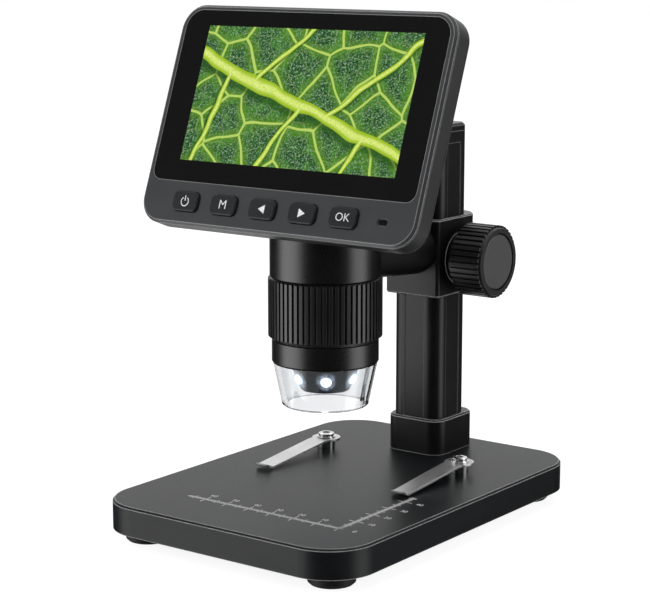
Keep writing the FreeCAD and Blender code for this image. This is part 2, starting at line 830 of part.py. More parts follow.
def make_clip(name):
    """A spring strip: a flat round head, a straight slope down to the stage and a tip that curls up."""
    toe = "clip_length - clip_curl"
    side = [("clip_head + over", "clip_low"), ("-clip_flat", "clip_low"), (minus(toe), "clip_tip_gap"),
            ("-clip_length - over", "clip_tip_gap + clip_curl_rise"),
            ("-clip_length - over", "clip_tip_gap + clip_curl_rise + clip_thick"),
            (minus(toe), "clip_tip_gap + clip_thick"), ("-clip_flat", "clip_top"),
            ("clip_head + over", "clip_top")]
    profile = doc.addObject("PartDesign::Body", name + "_profile")
    pad(profile, closed_sketch(profile, "YZ_Plane", side, "-clip_head - over"), "2 * clip_head + 2 * over")
    strip = doc.addObject("PartDesign::Body", name + "_strip")
    plan = [("clip_width / 2", "0"), ("-clip_width / 2", "0"), ("-clip_tip_width / 2", "-clip_length"),
            ("clip_tip_width / 2", "-clip_length")]
    flat = pad(strip, closed_sketch(strip, "XY_Plane", plan), "clip_top + over")
    tip = flat.Shape.BoundBox.YMin
    dress(strip, "Fillet", flat, lambda edge: upright(edge) and edge.CenterOfMass.y < tip + 1e-6,
          "clip_corner")
    head = rod(name + "_head", "clip_head", "clip_top + over", ("0", "0", "0"))
    solid = shared(name + "_solid", [profile, fuse(name + "_plan", [strip, head])])
    hole = rod(name + "_hole", "clip_screw_radius + running_gap", "clip_top + 2 * over", ("0", "0", "-over"))
    return cut(name + "_body", solid, [hole])


def make_carriage():
    full = prism("block_full", about("0", "block_width"), ("block_face", "column_place + block_back"),
                 ("block_low", "block_top"), corner="block_front_corner", back_corner="block_back_corner",
                 top_edge="block_edge", low_edge="block_edge")
    boss = rod("block_boss", "boss_radius", "boss_length + over", ("block_half - over", "clamp_place",
                                                                   "clamp_level"),
               "X")
    bore = column_outline("block_bore", "slide_gap", ("block_low - over", "block_top + over"))
    tools = [bore, rod("block_thread", "clamp_radius + running_gap", "block_half",
                       ("column_half - over", "clamp_place", "clamp_level"), "X")]
    screws = []
    arm_tools = []
    for sign in ("+", "-"):
        place = ("0", "bore_face", "arm_level %s arm_screw_pitch / 2" % sign)
        tools.append(flat_screw("block_sink", "arm_screw_radius + fit_gap", "arm_screw_head + fit_gap",
                                "block_front", place, "-Y"))
        screws.append(flat_screw("arm_screw", "arm_screw_radius", "arm_screw_head", "arm_screw_length",
                                 place, "-Y"))
        arm_tools.append(rod("arm_thread", "arm_screw_radius + thread_gap", "arm_screw_length + over",
                             place, "-Y"))
    keep(cut("block_body", fuse("block_solid", [full, boss]), tools), "carriage_block")
    keep(group("arm_screw_set", screws), "arm_screws")

    bar = cone("arm_bar", "arm_root", "arm_tip", "block_face - barrel_place - sleeve_radius",
               ("0", "block_face", "arm_level"), "-Y")
    saddle = rod("arm_saddle", "barrel_radius + thread_gap", "barrel_top", ("0", "barrel_place", "0"))
    way = rod("arm_ring_way", "ring_radius + arm_gap", "barrel_low", ("0", "barrel_place", "0"))
    arm_tools += [saddle, way]
    screws = []
    for x in ("barrel_screw_side", minus("barrel_screw_side")):
        place = (x, "barrel_screw_seat", "barrel_screw_level")
        arm_tools.append(rod("arm_barrel_thread", "arm_screw_radius + thread_gap",
                             "barrel_screw_length + barrel_screw_run", place, "Y"))
        screws.append(cap_screw("barrel_screw", "arm_screw_radius", "barrel_screw_head", "barrel_screw_tall",
                                "barrel_screw_length", place, "Y"))
    keep(cut("arm_body", bar, arm_tools), "arm")
    keep(group("barrel_screw_set", screws), "barrel_screws")


def make_clamp():
    place = ("pad_start", "clamp_place", "clamp_level")
    wide = "clamp_radius - running_gap / 2"
    outline = [("0", "0"), ("pad_nose", "0"), ("pad_nose", "pad_nose_length"), (wide, "pad_nose_length"),
               (wide, "pad_length"), ("0", "pad_length")]
    keep(put_along(turned("pad_body", outline), place, "X"), "clamp_pad")

    tip = "pad_start + pad_length + contact_gap"
    keep(rod("clamp_screw_body", "clamp_radius", "knob_start + knob_length - knob_recess_depth - (%s)" % tip,
             (tip, "clamp_place", "clamp_level"), "X"), "clamp_screw")

    bore = "clamp_radius + thread_gap"
    flange = turned("flange_body", washer_profile(bore, "flange_radius", "0", "flange_thick"))
    keep(put_along(flange, ("flange_start", "clamp_place", "clamp_level"), "X"), "knob_flange")

    floor = "knob_length - knob_recess_depth"
    outline = [(bore, "0"), ("knob_core - knob_edge", "0"), ("knob_core", "knob_edge"),
               ("knob_core", "knob_length - knob_edge"), ("knob_core - knob_edge / 2", "knob_length"),
               ("knob_recess", "knob_length"), ("knob_recess", floor), (bore, floor)]
    knob = ribbed("knob_body", outline, "knob_core - rib_root", "knob_radius", "knob_rib_width", "knob_edge",
                  "knob_length - knob_edge", "knob_rib_count")
    keep(put_along(knob, ("knob_start", "clamp_place", "clamp_level"), "X"), "clamp_knob")

    edge = "knob_recess - knob_cap_gap"
    disc = turned("knob_cap_body", [("0", "0"), (edge, "0"), (edge,
                                                              "knob_recess_depth - disc_sink - disc_edge"),
                                    (edge + " - disc_edge", "knob_recess_depth - disc_sink"),
                                    ("0", "knob_recess_depth - disc_sink")])
    keep(put_along(disc, ("knob_start + " + floor, "clamp_place", "clamp_level"), "X"), "knob_cap")


def make_barrel(envelope):
    roof = "barrel_top - barrel_roof"
    lip = "sleeve_radius + running_gap"
    outline = [(lip, "barrel_low"), ("barrel_radius", "barrel_low"),
               ("barrel_radius", "barrel_top - barrel_edge"), ("barrel_radius - barrel_edge", "barrel_top"),
               ("0", "barrel_top"), ("0", roof), ("barrel_inside", roof), ("barrel_inside", "lip_top"),
               (lip, "lip_top")]
    full = on_barrel(turned("barrel_full", outline))
    ways = []
    screws = []
    tip = "head_screw_grip + head_screw_bite"
    for x in ("head_screw_side", minus("head_screw_side")):
        ways.append(rod("barrel_access", "head_screw_head + fit_gap", "bulge_depth * 2",
                        (x, "head_screw_rise", "head_screw_seat"), "-Z"))
        ways.append(rod("barrel_clear", "head_screw_radius + fit_gap", "head_screw_grip + over",
                        (x, "head_screw_rise", "head_screw_seat - post_sink")))
        screws.append(cap_screw("head_screw", "head_screw_radius", "head_screw_head", "head_screw_tall", tip,
                                (x, "head_screw_rise", "head_screw_seat"), "Z"))
    way_set = on_display(fuse("barrel_ways", ways))
    holes = []
    for x in ("barrel_screw_side", minus("barrel_screw_side")):
        holes.append(rod("barrel_screw_hole", "arm_screw_radius + fit_gap", "2 * barrel_wall",
                         (x, "barrel_screw_seat - over", "barrel_screw_level"), "Y"))
        holes.append(rod("barrel_screw_spot", "barrel_screw_head + fit_gap", "spot_depth",
                         (x, "barrel_screw_seat - spot_depth", "barrel_screw_level"), "Y"))
    keep(cut("barrel_body", full, [envelope, way_set] + holes), "barrel_housing")
    keep(on_display(group("head_screw_set", screws)), "head_screws")

    flange = "sleeve_radius + sleeve_flange"
    keep(on_barrel(turned("sleeve_body", [
        ("sleeve_bore", "nose_shelf"), ("sleeve_radius", "nose_shelf"), ("sleeve_radius", "lip_top"),
        (flange, "lip_top"), (flange, "sleeve_top"), ("sleeve_bore", "sleeve_top")])), "barrel_sleeve")

    keep(on_barrel(turned("nose_body", [
        ("nose_inside", "nose_low"), ("nose_radius - nose_edge", "nose_low"),
        ("nose_radius", "nose_low + nose_edge"), ("nose_radius", "nose_top"),
        (lip, "nose_top"), (lip, "nose_shelf"), ("nose_inside", "nose_shelf")])), "nose_sleeve")

    low = "ring_low"
    outline = [("sleeve_radius + cell_gap", low), ("ring_core - ring_edge / 2", low),
               ("ring_core", "ring_low + ring_edge"), ("ring_core", "ring_top - ring_edge / 2"),
               ("ring_core - ring_edge / 2", "ring_top"), ("sleeve_radius + cell_gap", "ring_top")]
    keep(on_barrel(ribbed("ring_body", outline, "ring_core - ring_rib_root", "ring_radius", "ring_rib_width",
                          "ring_low + ring_edge", "ring_top - ring_edge / 2", "ring_rib_count")),
         "focus_ring")


def make_optics():
    front_bore = "front_lens_radius + lens_gap"
    rear_bore = "rear_lens_radius + lens_gap"
    retainer_top = "front_seat + front_lens_thick + retainer_thick"
    shelf = "cell_low + " + retainer_top + " + over"
    lens_cell = [("front_lens_radius - lens_lip", "cell_low"), ("cell_radius", "cell_low"),
                 ("cell_radius", "cell_low + cell_length"), (rear_bore, "cell_low + cell_length"),
                 (rear_bore, "rear_lens_low"), ("rear_lens_radius - rear_lens_lip", "rear_lens_low"),
                 ("rear_lens_radius - rear_lens_lip", shelf), (front_bore, shelf), (front_bore,
                                                                                    "front_lens_low"),
                 ("front_lens_radius - lens_lip", "front_lens_low")]
    keep(on_barrel(turned("cell_body", lens_cell)), "lens_cell")
    keep(lens("front_lens", "front_lens_radius", "front_lens_thick", "front_lens_curve", "front_lens_low"),
         "front_lens")
    keep(lens("rear_lens", "rear_lens_radius", "rear_lens_thick", "rear_lens_curve", "rear_lens_low"),
         "rear_lens")
    seat = "front_lens_low + front_lens_thick"
    keep(on_barrel(turned("retainer_body", washer_profile(
        "front_lens_radius - retainer_width", "front_lens_radius", seat, seat + " + retainer_thick"))),
        "lens_retainer")

    keep(on_barrel(turned("mount_body", [
        ("mount_radius - mount_wall", "sleeve_top"), ("mount_radius", "sleeve_top"),
        ("mount_radius", "mount_top"), ("filter_radius + lens_gap", "mount_top"),
        ("filter_radius + lens_gap", "floor_low"), ("mount_radius - mount_wall", "floor_low")])),
        "sensor_mount")
    chip_low = "mount_top - sensor_thick"
    side = about("0", "sensor_side")
    keep(box("sensor_body", side, about("barrel_place", "sensor_side"), (chip_low, "mount_top")),
         "image_sensor")
    keep(rod("filter_body", "filter_radius", "filter_thick",
             ("0", "barrel_place", chip_low + " - filter_thick - lens_gap")), "ir_filter")
    keep(rod("sensor_board_body", "mount_radius", "board_thick", ("0", "barrel_place", "mount_top")),
         "sensor_board")


def lens(label, radius, thick, curve, low):
    """A lens with two bowed faces: what two balls and a rod share."""
    middle = "%s + (%s) / 2" % (low, thick)
    balls = []
    for sign in ("-", "+"):
        ball = doc.addObject("Part::Sphere", label + "_ball")
        bind(ball, Radius=curve)
        put(ball, ("0", "barrel_place", "%s %s ((%s) - (%s) / 2)" % (middle, sign, curve, thick)))
        balls.append(ball)
    edge = rod(label + "_edge", radius, thick, ("0", "barrel_place", low))
    return shared(label + "_body", balls + [edge])


def make_lamps():
    board_out = "nose_inside - fit_gap"
    keep(on_barrel(turned("lamp_board_body", washer_profile(
        "lamp_nose_hole", board_out, "lamp_board_low", "nose_shelf"))), "led_board")

    top = "lamp_board_low"
    wall = "lamp_nose_wall"
    outline = [("lamp_nose_top - " + wall, top), ("lamp_nose_top", top), ("lamp_nose_top", "nose_low"),
               ("lamp_nose_foot", "lamp_nose_low"), ("lamp_nose_hole", "lamp_nose_low"),
               ("lamp_nose_hole", "lamp_nose_low + " + wall),
               ("lamp_nose_foot - " + wall, "lamp_nose_low + " + wall),
               ("lamp_nose_top - " + wall, "nose_low")]
    shell = on_barrel(turned("lamp_nose_full", outline))
    holes = []
    lamps = []
    count = int(SIZES["lamp_count"])
    for step in range(count):
        turn = "lamp_turn + %d * 360 / lamp_count - 90" % step
        hole = rod("lamp_hole", "lamp_radius + thread_gap", "lamp_hole_deep", ("0", "0", "0"))
        put(hole, ("lamp_reach - lamp_hole_deep / 2 * cos(lamp_slope)", "0",
                   "lamp_level + lamp_hole_deep / 2 * sin(lamp_slope)"),
            (0, 1, 0), "90 deg + lamp_slope")
        holes.append(put(group("lamp_hole_place", [hole]), ("0", "barrel_place", "0"), (0, 0, 1), turn))
        outline = [("0", "lamp_stand_out - lamp_length"), ("lamp_radius", "lamp_stand_out - lamp_length"),
                   ("lamp_radius", "lamp_stand_out - lamp_radius / 2"),
                   ("lamp_radius * 0.75", "lamp_stand_out - lamp_radius / 8"), ("0", "lamp_stand_out")]
        lamp = put(turned("lamp", outline), ("lamp_reach", "0", "lamp_level"), (0, 1, 0),
                   "90 deg + lamp_slope")
        lamps.append(put(group("lamp_place", [lamp]), ("0", "barrel_place", "0"), (0, 0, 1), turn))
    keep(cut("lamp_nose_body", shell, holes), "led_nose")
    keep(group("lamp_set", lamps), "leds")

    neck = "nose_inside - thread_gap"
    wall = "shroud_wall"
    outline = [("shroud_top - " + wall, "nose_low - running_gap"), ("shroud_top - " + wall, top),
               (neck, top), (neck, "nose_low - running_gap"), ("shroud_top", "nose_low - running_gap"),
               ("shroud_foot", "shroud_low + shroud_edge"), ("shroud_foot - shroud_edge", "shroud_low"),
               ("shroud_foot - %s + shroud_edge" % wall, "shroud_low"),
               ("shroud_foot - " + wall, "shroud_low + shroud_edge")]
    keep(on_barrel(turned("shroud_body", outline)), "light_shroud")


def make_display_solids():
    half = (minus("display_half"), "display_half")
    rise = (minus("display_rise"), "display_rise")
    slab = prism("slab", half, rise, ("-slab_depth", "0"), corner="display_corner", low_round="slab_round")
    bulge = prism("bulge", about("0", "bulge_width"), ("bulge_low", "bulge_high"),
                  ("-bulge_depth", "-slab_depth + shell_wall"), corner="bulge_corner", low_edge="bulge_edge")
    return slab, bulge


def key_places():
    return ["key_first + %d * key_pitch" % step for step in range(5)]


def make_rear_shell(slab, bulge):
    inner_half = "display_half - shell_wall"
    inner_rise = "display_rise - shell_wall"
    front = box("shell_front", about("0", "display_width + 2 * over"), about("0",
                                                                             "display_height + 2 * over"),
                ("-bezel_thick - seam_gap", "over"))
    room = prism("shell_room", (minus(inner_half), inner_half), (minus(inner_rise), inner_rise),
                 ("slab_floor", "0"), corner="display_corner - shell_wall")
    deep = prism("shell_deep", about("0", "bulge_width - 2 * shell_wall"),
                 ("bulge_low + shell_wall", "bulge_high - shell_wall"), ("bulge_floor", "slab_floor + over"),
                 corner="bulge_corner - shell_wall", low_edge="bulge_edge - bulge_inner_step")
    shell = cut("shell_shell", fuse("shell_outer", [slab, bulge]), [front, room, deep])
    posts = []
    holes = []
    screws = []
    for x, y in signed("case_screw_side", "case_screw_rise"):
        posts.append(rod("shell_post", "case_post", "slab_depth - case_post_split - over",
                         (x, y, "-slab_depth + over")))
        holes.append(rod("shell_post_hole", "case_screw_radius + fit_gap", "slab_depth",
                         (x, y, "-slab_depth - post_sink")))
        holes.append(rod("shell_post_sink", "case_screw_head + fit_gap", "case_screw_sink + over",
                         (x, y, "-slab_depth - over")))
        screws.append(cap_screw("case_screw", "case_screw_radius", "case_screw_head",
                                "case_screw_sink - fit_gap",
                                "slab_depth - case_screw_sink - case_post_floor - fit_gap",
                                (x, y, "-slab_depth + case_screw_sink"), "Z"))
    for x, y in [(x, y) for x in ("boss_side", minus("boss_side")) for y in ("boss_low", "boss_high")]:
        posts.append(rod("shell_boss", "boss_small", "pcb_rear - (bulge_floor) + post_sink",
                         (x, y, "bulge_floor - post_sink")))
    for x in ("boss_side", "0", minus("boss_side")):
        posts.append(rod("shell_key_boss", "key_boss", "key_board_low - (slab_floor) + post_sink",
                         (x, "key_row - key_board_tall / 2 + key_boss_inset", "slab_floor - post_sink")))
    for x in ("head_screw_side", minus("head_screw_side")):
        posts.append(rod("shell_head_boss", "head_screw_radius + head_boss_wall",
                         "head_screw_bite - head_boss_short",
                         (x, "head_screw_rise", "bulge_floor - post_sink")))
        holes.append(rod("shell_head_hole", "head_screw_radius + thread_gap", "bulge_depth",
                         (x, "head_screw_rise", "-bulge_depth - post_sink")))
    reach = (minus("display_half + over"), minus("display_half - shell_wall - over"))
    holes.append(box("shell_socket_slot", reach, about("socket_place", "socket_width + 2 * port_gap"),
                     ("pcb_rear - socket_high - port_gap", "pcb_rear + port_gap")))
    holes.append(box("shell_card_slot", reach, about("card_place", "card_width + 2 * port_gap"),
                     ("pcb_rear - card_high - port_gap", "pcb_rear + port_gap")))
    holes.append(box("shell_ribbon_slot", about("0", "ribbon_width + 2 * ribbon_room"),
                     ("ribbon_slot_low", "ribbon_slot_high"),
                     ("-bulge_depth - over", "bulge_floor + over")))
    body = cut("shell_body", fuse("shell_filled", [shell] + posts), holes)
    keep(on_display(body), "rear_shell")
    keep(on_display(group("case_screw_set", screws)), "housing_screws")


def glass_outline(label, gap, high):
    half = "glass_width / 2 + (%s)" % gap
    return prism(label, (minus(half), half), ("glass_low - (%s)" % gap, "glass_high + (%s)" % gap), high,
                 corner="glass_low_corner", back_corner="glass_corner")


def make_bezel():
    half = (minus("display_half"), "display_half")
    rise = (minus("display_rise"), "display_rise")
    plate = prism("bezel_plate", half, rise, ("-bezel_thick", "0"), corner="display_corner",
                  top_edge="bezel_edge")
    gap = "(shell_wall + glass_gap)"
    lip_half = "display_half - " + gap
    lip_rise = "display_rise - " + gap
    lip_high = ("-bezel_thick - bezel_lip_depth", "-bezel_thick + join_over")
    lip_outer = prism("bezel_lip_outer", (minus(lip_half), lip_half), (minus(lip_rise), lip_rise), lip_high,
                      corner="display_corner - " + gap)
    in_half = lip_half + " - bezel_lip"
    in_rise = lip_rise + " - bezel_lip"
    lip_inner = prism("bezel_lip_inner", (minus(in_half), in_half), (minus(in_rise), in_rise),
                      ("-bezel_thick - bezel_lip_depth - over", "-bezel_thick"),
                      corner="display_corner - %s - bezel_lip" % gap)
    lip = cut("bezel_lip_ring", lip_outer, [lip_inner])
    posts = []
    tools = [glass_outline("bezel_glass_room", "glass_gap", ("-glass_thick", "over")),
             prism("bezel_opening", about("panel_offset", "panel_long + 2 * fit_gap"),
                   about("panel_centre", "panel_tall + 2 * fit_gap"), ("-bezel_thick - opening_depth",
                                                                       "over"))]
    for x, y in signed("case_screw_side", "case_screw_rise"):
        posts.append(rod("bezel_post", "case_post", "case_post_split - bezel_thick + join_over",
                         (x, y, "-case_post_split + contact_gap")))
        tools.append(rod("bezel_post_hole", "case_screw_radius + thread_gap",
                         "case_post_split + 1 - case_post_floor", (x, y, "-case_post_split - over")))
    for place in key_places():
        tools.append(prism("bezel_key_hole", about(place, "key_width + 2 * key_gap"),
                           about("key_row", "key_height + 2 * key_gap"), ("-bezel_thick - over", "over"),
                           corner="key_corner + key_gap"))
    tools.append(prism("bezel_window", about("window_place", "window_width"),
                       about("key_row", "window_height"), ("-bezel_thick - over", "over"),
                       corner="window_height * window_round"))
    body = cut("bezel_body", fuse("bezel_solid", [plate, lip] + posts), tools)
    keep(on_display(body), "front_bezel")


def make_screen():
    keep(on_display(glass_outline("glass_body", "0", ("-glass_thick", "0"))), "cover_glass")
    keep(on_display(prism("panel_body", about("panel_offset", "panel_long"),
                          about("panel_centre", "panel_tall"), ("panel_rear", "panel_front"))),
         "lcd_panel")
    keep(on_display(prism("pcb_body", ("pcb_left", "pcb_right"), ("pcb_low", "pcb_high"),
                          ("pcb_rear", "pcb_front"), corner="board_corner")), "main_board")
    keep(on_display(prism("battery_body", about("0", "cell_width"),
                          ("cell_floor", "cell_floor + cell_tall"), ("bulge_floor",
                                                                     "bulge_floor + cell_deep"),
                          corner="cell_corner")), "battery")
    mouth = "-(display_half - mouth_sink)"
    socket = box("socket_full", (mouth, mouth + " + socket_deep"), about("socket_place", "socket_width"),
                 ("pcb_rear - socket_high", "pcb_rear"))
    hollow = box("socket_hollow", (mouth + " - over", mouth + " + socket_deep - over"),
                 about("socket_place", "socket_width - 2 * socket_side"),
                 ("pcb_rear - socket_high + socket_wall", "pcb_rear - socket_wall"))
    keep(on_display(cut("socket_body", socket, [hollow])), "usb_socket")
    card = box("card_full", (mouth, mouth + " + card_deep"), about("card_place", "card_width"),
               ("pcb_rear - card_high", "pcb_rear"))
    slit = box("card_hollow", (mouth + " - over", mouth + " + card_deep - over"),
               about("card_place", "card_width - 2 * card_side"), ("pcb_rear - card_high + card_wall",
                                                                   "pcb_rear - card_wall"))
    keep(on_display(cut("card_body", card, [slit])), "card_socket")


def make_keys():
    names = ("power_button", "menu_button", "left_button", "right_button", "ok_button")
    domes = []
    for name, place in zip(names, key_places()):
        top = prism(name + "_cap", about(place, "key_width"), about("key_row", "key_height"),
                    ("key_flange_low", "key_raise"), corner="key_corner", top_edge="key_edge")
        flange = prism(name + "_flange", about(place, "key_width + 2 * (key_gap + key_flange)"),
                       about("key_row", "key_height + 2 * (key_gap + key_flange)"),
                       ("key_flange_low", "key_flange_top"), corner="key_corner")
        stem = rod(name + "_stem", "key_stem", "key_stem_length + join_over", (place, "key_row",
                                                                               "key_stem_low"))
        keep(on_display(fuse(name + "_body", [top, flange, stem])), name)
        dome = turned("dome", [("0", "dome_low"), ("dome_radius", "dome_low"),
                               ("dome_radius", "dome_low + dome_height / 2"),
                               ("dome_radius / 2", "dome_top"), ("0", "dome_top")])
        domes.append(put(dome, (place, "key_row", "0")))
    keep(on_display(group("dome_set", domes)), "dome_switches")
    middle = "key_first + 2 * key_pitch + window_place_step"
    keep(on_display(prism("key_board_body", about(middle, "key_board_wide"),
                          about("key_row", "key_board_tall"), ("key_board_low", "dome_low"))), "key_board")
    pane = prism("window_pane", about("window_place", "window_width - 2 * window_gap"),
                 about("key_row", "window_height - 2 * window_gap"), ("-bezel_thick - window_join",
                                                                      "-window_depth"),
                 corner="window_height * window_round")
    rim = prism("window_rim", about("window_place", "window_width + 2 * window_rim"),
                about("key_row", "window_height + 2 * window_rim"), ("-bezel_thick - window_rim_thick",
                                                                     "-bezel_thick"),
                corner="window_height * window_round")
    keep(on_display(fuse("window_body", [pane, rim])), "indicator_window")


def make_ribbon():
    """A flat cable from the sensor board, through the rear shell's slot, to the main board."""
    foot = ("ribbon_run * sin(display_tilt) + ribbon_drop * cos(display_tilt)",
            "ribbon_drop * sin(display_tilt) - ribbon_run * cos(display_tilt)")
    end = "pcb_low + 1.4"
    path = [foot, ("ribbon_slot_high - 2.4", "bulge_floor - 0.4"), (end, "pcb_rear - 3.75"),
            (end, "pcb_rear")]
    back = [(x + " - ribbon_thick", y + (" + ribbon_thick" if y != "pcb_rear" else "")) for x, y in path]
    body = doc.addObject("PartDesign::Body", "ribbon_body")
    sketch = closed_sketch(body, "YZ_Plane", path + back[::-1], "-ribbon_width / 2")
    pad(body, sketch, "ribbon_width")
    keep(on_display(body), "flex_cable")


def main():
    make_base()
    make_feet()
    make_column()
    make_collar()
    make_clips()
    make_carriage()
    make_clamp()
    slab, bulge = make_display_solids()
    envelope = on_display(fuse("display_envelope", [slab, bulge]))
    make_barrel(envelope)
    make_optics()
    make_lamps()
    make_rear_shell(slab, bulge)
    make_bezel()
    make_screen()
    make_keys()
    make_ribbon()
    doc.recompute()
    check_and_write()


def check_and_write():
    for item in doc.Objects:
        if "Invalid" in item.State or "Error" in item.State:
            raise RuntimeError("%s is %s" % (item.Label, item.State))
    for item in SHAPES:
        if item.Shape.isNull() or not item.Shape.isValid():
            raise RuntimeError("%s has no valid shape" % item.Label)
    os.makedirs("parts", exist_ok=True)
    for item in SHAPES:
        item.Shape.exportStep("parts/%s.step" % item.Label)
        box_of_item = item.Shape.BoundBox
        print("%-18s %2d solids %10.1f mm3  x %7.2f %7.2f  y %7.2f %7.2f  z %7.2f %7.2f" % (
            item.Label, len(item.Shape.Solids), item.Shape.Volume, box_of_item.XMin, box_of_item.XMax,
            box_of_item.YMin, box_of_item.YMax, box_of_item.ZMin, box_of_item.ZMax))
    print(len(SHAPES), "sub-parts")


main()
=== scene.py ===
import math

import bmesh
import bpy
from mathutils import Matrix, Vector


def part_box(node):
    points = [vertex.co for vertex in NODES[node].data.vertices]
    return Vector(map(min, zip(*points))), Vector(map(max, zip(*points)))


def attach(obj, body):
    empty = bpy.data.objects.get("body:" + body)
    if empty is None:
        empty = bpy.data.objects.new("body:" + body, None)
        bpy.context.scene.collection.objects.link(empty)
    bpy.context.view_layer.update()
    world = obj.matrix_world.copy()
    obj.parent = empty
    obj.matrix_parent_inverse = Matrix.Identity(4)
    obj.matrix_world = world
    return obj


MM = 0.001

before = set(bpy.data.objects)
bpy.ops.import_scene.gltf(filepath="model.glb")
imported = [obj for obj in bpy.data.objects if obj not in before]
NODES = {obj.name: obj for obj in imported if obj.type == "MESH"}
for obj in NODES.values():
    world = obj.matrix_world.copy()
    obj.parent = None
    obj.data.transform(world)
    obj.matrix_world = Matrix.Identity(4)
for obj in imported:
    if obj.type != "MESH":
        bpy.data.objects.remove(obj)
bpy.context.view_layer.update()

# Places that the scene shares with the solids, in millimetres unless said.

# The screen's own frame: X right, Y up the glass, Z out of the glass.
DISPLAY_AT = Vector((0.0, -31.5, 152.7))
DISPLAY_TILT = math.radians(20.7)
DISPLAY_TURN = math.pi / 2 - DISPLAY_TILT
GLASS_BACK = -0.3

KEY_NODES = ("power_button", "menu_button", "left_button", "right_button", "ok_button")
KEY_FIRST = -39.3
KEY_PITCH = 17.6
KEY_ROW = -33.0
KEY_TOP = 1.1
KEY_BAND_HALF = 54.0
KEY_BAND_UP = 5.2

BARREL_Y = -12.0
LAMP_COUNT = 6
LAMP_FIRST = math.radians(38.0)
LAMP_RING = 10.96
LAMP_HEIGHT = 57.2

STAGE_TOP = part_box("base_plate")[1][2] / MM


def display_matrix():
    """From the screen's frame in millimetres to the row frame in metres."""
    place = Matrix.Translation(DISPLAY_AT * MM)
    return place @ Matrix.Rotation(DISPLAY_TURN, 4, "X") @ Matrix.Scale(MM, 4)


# Camera

CAMERA_TARGET = Vector((-9.04, 0.0, 83.68)) * MM
CAMERA_AZIMUTH = math.radians(36.59)
CAMERA_ELEVATION = math.radians(10.51)
CAMERA_DISTANCE = 739.47 * MM
CAMERA_LENS = 109.63
CAMERA_SENSOR = 36.0
CAMERA_NEAR = 0.01
CAMERA_FAR = 50.0


def make_camera():
    data = bpy.data.cameras.new("camera")
    data.lens = CAMERA_LENS
    data.sensor_width = CAMERA_SENSOR
    data.clip_start = CAMERA_NEAR
    data.clip_end = CAMERA_FAR
    camera = bpy.data.objects.new("camera", data)
    bpy.context.collection.objects.link(camera)
    level = math.cos(CAMERA_ELEVATION)
    back = Vector((math.sin(CAMERA_AZIMUTH) * level, -math.cos(CAMERA_AZIMUTH) * level,
                   math.sin(CAMERA_ELEVATION)))
    camera.location = CAMERA_TARGET + back * CAMERA_DISTANCE
    camera.rotation_euler = (-back).to_track_quat("-Z", "Y").to_euler()
    bpy.context.scene.camera = camera


# Node helpers

BEVEL_SAMPLES = 6
SCALAR_RESULTS = ("DOT_PRODUCT", "LENGTH")
# The sockets of a mix by the kind of what it mixes: first, second and result.
MIX_SOCKETS = {"RGBA": (6, 7, 2), "FLOAT": (2, 3, 0)}


